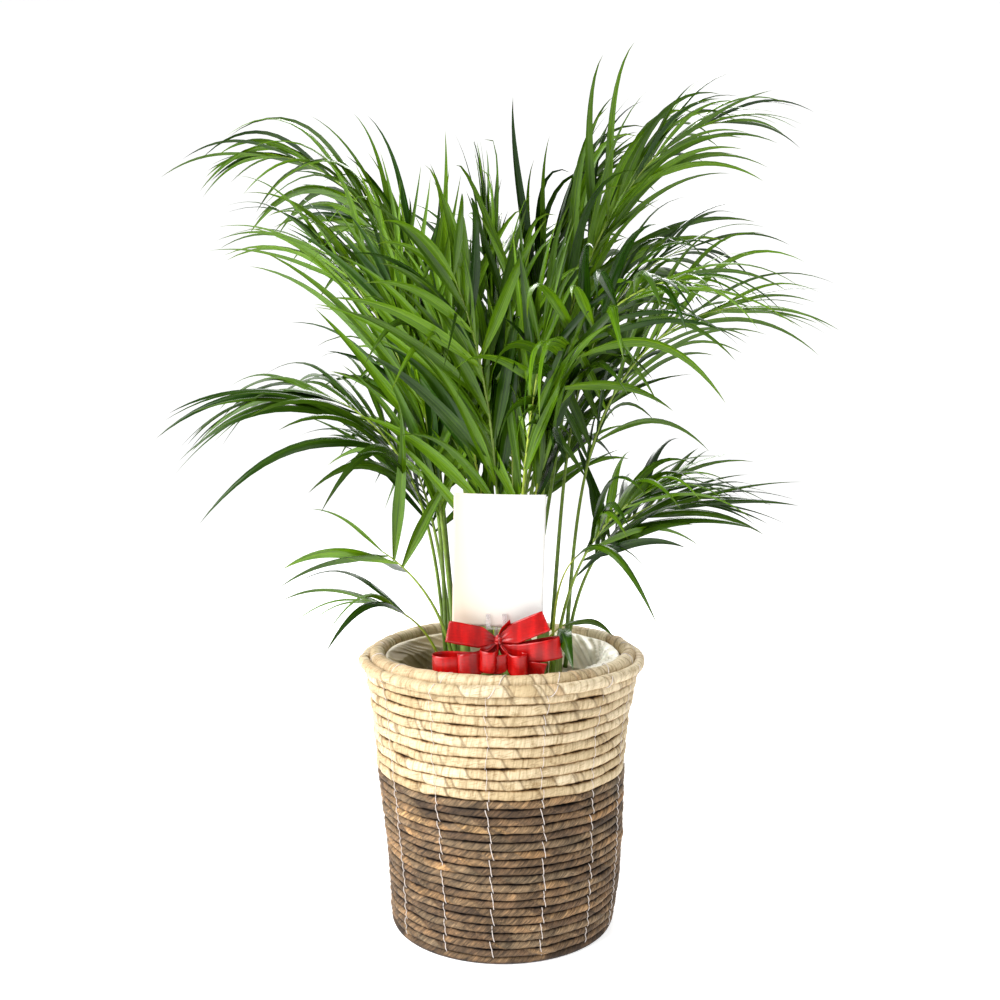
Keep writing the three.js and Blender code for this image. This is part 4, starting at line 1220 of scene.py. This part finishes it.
def turned(points, strip):
    """Turns points in millimetres as the part's source does, lets them fall away from the
    knot's height and moves them to the knot."""
    turn = (Matrix.Rotation(math.radians(strip["heading"]), 3, "Z")
            @ Matrix.Rotation(math.radians(-strip["rise"]), 3, "Y")
            @ Matrix.Rotation(math.radians(strip["twist"]), 3, "X"))
    fall = 1 - (1 - np.clip(points[:, 0] / FALL_OVER, 0, 1)) ** 2
    points = points @ np.array(turn).T - np.outer(fall * strip["drop"], (0, 0, 1))
    return points * MM + np.array(KNOT)


def loop_shape(loop, seed):
    """A loop of ribbon that leaves the knot, bends back at its reach and comes home."""
    def shape(a, b):
        turn = 0.25 + (a + 1) / 2 * (2 * math.pi - 0.5)
        out = (1 - np.cos(turn)) / 2
        x = 1 + out * (loop["reach"] - 1)
        y = np.sin(turn) * out ** 0.9 * loop["fat"] * 1.3 + np.cos(turn / 2)
        gather = np.minimum(1, GATHERED + x / 24)
        pleats = (1 - gather) * PLEAT * np.cos(b * 8 + seed)
        cup = 0.6 * b ** 2 * np.sin(turn * 0.5 + seed)
        z = b * RIBBON_WIDE / 2 * gather + 0.8 * out * np.sin(turn + seed)
        return turned(np.stack([x, y + pleats + cup, z], 1), loop)
    return shape


def tail_shape(tail, seed):
    """A cut end of ribbon, waved along its length and cut on the slant."""
    def shape(a, b):
        out = (a + 1) / 2
        x = out * tail["reach"] + b * 4 * np.clip(out * 6 - 5, 0, 1)
        gather = np.minimum(1, GATHERED + x / 22)
        y = 3 * np.sin(out * 3 + seed) + (1 - gather) * PLEAT * np.cos(b * 8 + seed)
        return turned(np.stack([x, y, b * RIBBON_WIDE / 2 * gather], 1), tail)
    return shape


def satin_material():
    """Red satin: fine threads along the ribbon, a soft sheen helped by painted upright streaks, and painted
    shade that darkens it towards the knot, deep in the folds.
    """
    material = new_material("red_satin", 0.27, Specular_IOR_Level=0.42)
    threads = noise(material, (150, 150, 2600), Detail=3.0)
    colour = ramp(material, threads, (0.3, (0.31, 0.001, 0.001)), (0.7, (0.47, 0.003, 0.002)))
    # Painted shade: darker close to the knot, among the gathered loops.
    colour = shade(material, colour, attribute(material, "reach"),
                   (0.0, (0.45, 0.4, 0.4)), (0.4, (0.95, 0.95, 0.95)), (1.0, (1, 1, 1)))
    # Painted sheen: soft upright streaks, lighter and darker, standing in for the satin's highlights.
    painted_sheen = noise(material, (110, 110, 9), Detail=2.0)
    colour = shade(material, colour, painted_sheen,
                   (0.36, (0.68, 0.66, 0.66)), (0.52, (1, 1, 1)), (0.64, (1.3, 1.3, 1.3)))
    rumple = noise(material, 45.0, Detail=2.0)
    height = reckon(material, "ADD", reckon(material, "MULTIPLY", threads, 0.06), rumple)
    finish(material, colour, height, 0.3, 2.5 * MM)
    return material


satin = satin_material()
ribbons = [(f"bow_loop_{i}", 64, loop_shape(loop, i * 1.7)) for i, loop in enumerate(BOW_LOOPS)]
ribbons += [(f"bow_tail_{i}", 24, tail_shape(tail, i)) for i, tail in enumerate(BOW_TAILS)]
for name, steps, shape in ribbons:
    ribbon = piece(name, sheet(steps, 10, shape, RIBBON_THICK), satin)
    # Distance from the knot, which sets the painted shade near it.
    from_knot = np.linalg.norm(points_of(ribbon.data) - np.array(KNOT), axis=1)
    paint(ribbon.data, "reach", np.clip(from_knot / (35 * MM), 0, 1))
    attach(ribbon, "root")

# Knot and tie. The gathered middle of the ribbon, pressed into nine pleats, and two turns of
# clear thread pulled tight round it.
KNOT_SIZE = (9 * MM, 10 * MM, 12 * MM)
KNOT_PLEATS = 9
TIE_SIZE = (1.2 * MM, 5.6 * MM, 6.6 * MM)
knot_bm = bmesh.new()
bmesh.ops.create_uvsphere(knot_bm, u_segments=48, v_segments=24, radius=0.5)
for vert in knot_bm.verts:
    vert.co *= 1 + 0.12 * math.cos(KNOT_PLEATS * math.atan2(vert.co.y, vert.co.z))
bmesh.ops.scale(knot_bm, verts=knot_bm.verts[:], vec=KNOT_SIZE)
bmesh.ops.translate(knot_bm, verts=knot_bm.verts[:], vec=KNOT)
knot = piece("bow_knot", knot_bm, satin)
# The knot takes a middling share of that painted shade.
paint(knot.data, "reach", np.full(len(knot.data.vertices), 0.5))
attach(knot, "root")
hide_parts("bow")

tie_bm = coil_rows(2, 64, 8)
bmesh.ops.rotate(tie_bm, verts=tie_bm.verts[:], cent=(0, 0, 0), matrix=Matrix.Rotation(math.pi / 2, 3, "Y"))
bmesh.ops.scale(tie_bm, verts=tie_bm.verts[:], vec=TIE_SIZE)
bmesh.ops.translate(tie_bm, verts=tie_bm.verts[:], vec=KNOT)
tie = piece("bow_tie_thread", tie_bm, pick_plastic)
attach(tie, "root")

# Setting. A plain pale floor that sweeps up behind, a large soft light high on the left and
# weaker ones around it, and a camera a little above the middle of the plant, looking down.
FLOOR_HALF = 6
FLOOR_RISE = (0, 2, 8)
CAMERA_PLACE = (-0.003, -1.344, 0.624)
CAMERA_TILT = math.radians(84.8)
CAMERA_LENS = 41.4
floor_bm = bmesh.new()
bmesh.ops.create_grid(floor_bm, x_segments=1, y_segments=1, size=FLOOR_HALF)
far = [edge for edge in floor_bm.edges if all(vert.co.y > FLOOR_HALF / 2 for vert in edge.verts)]
rising = bmesh.ops.extrude_edge_only(floor_bm, edges=far)["geom"]
risen = [item for item in rising if isinstance(item, bmesh.types.BMVert)]
bmesh.ops.translate(floor_bm, verts=risen, vec=FLOOR_RISE)
floor_paint = new_material("pale_floor", 0.9, Base_Color=(0.9, 0.9, 0.9, 1),
                           Emission_Color=(1, 1, 1, 1), Emission_Strength=0.6)
floor = piece("floor", floor_bm, floor_paint)

world = bpy.data.worlds.new("studio")
bpy.context.scene.world = world
world.use_nodes = True
sky = world.node_tree.nodes["Background"]
sky.inputs["Color"].default_value = (1, 1, 1, 1)
# The sky looks white to the camera but lights the plant more softly.
seen = world.node_tree.nodes.new("ShaderNodeLightPath")
strength = world.node_tree.nodes.new("ShaderNodeMapRange")
strength.inputs["To Min"].default_value = 0.35
strength.inputs["To Max"].default_value = 1.0
world.node_tree.links.new(seen.outputs["Is Camera Ray"], strength.inputs["Value"])
world.node_tree.links.new(strength.outputs["Result"], sky.inputs["Strength"])
bpy.context.scene.view_settings.view_transform = "Standard"


def soft_light(name, place, aim, size, power):
    lamp = bpy.data.lights.new(name, "AREA")
    lamp.size = size
    lamp.energy = power
    thing = bpy.data.objects.new(name, lamp)
    thing.location = place
    thing.rotation_euler = (Vector(aim) - Vector(place)).to_track_quat("-Z", "Y").to_euler()
    bpy.context.scene.collection.objects.link(thing)


soft_light("key", (-2.15, -1.5, 2.4), (0, 0, 0.5), 2.4, 146)
soft_light("side", (-2.0, -0.75, 1.0), (0.1, 0, 0.32), 1.7, 30)
soft_light("fill", (2.2, -1.8, 1.6), (0, 0, 0.5), 1.8, 26)
soft_light("back", (0.3, 2.2, 2.4), (0, 0, 0.6), 1.4, 60)

camera_data = bpy.data.cameras.new("camera")
camera_data.lens = CAMERA_LENS
camera = bpy.data.objects.new("camera", camera_data)
camera.location = CAMERA_PLACE
camera.rotation_euler = (CAMERA_TILT, 0, 0)
bpy.context.scene.collection.objects.link(camera)
bpy.context.scene.camera = camera
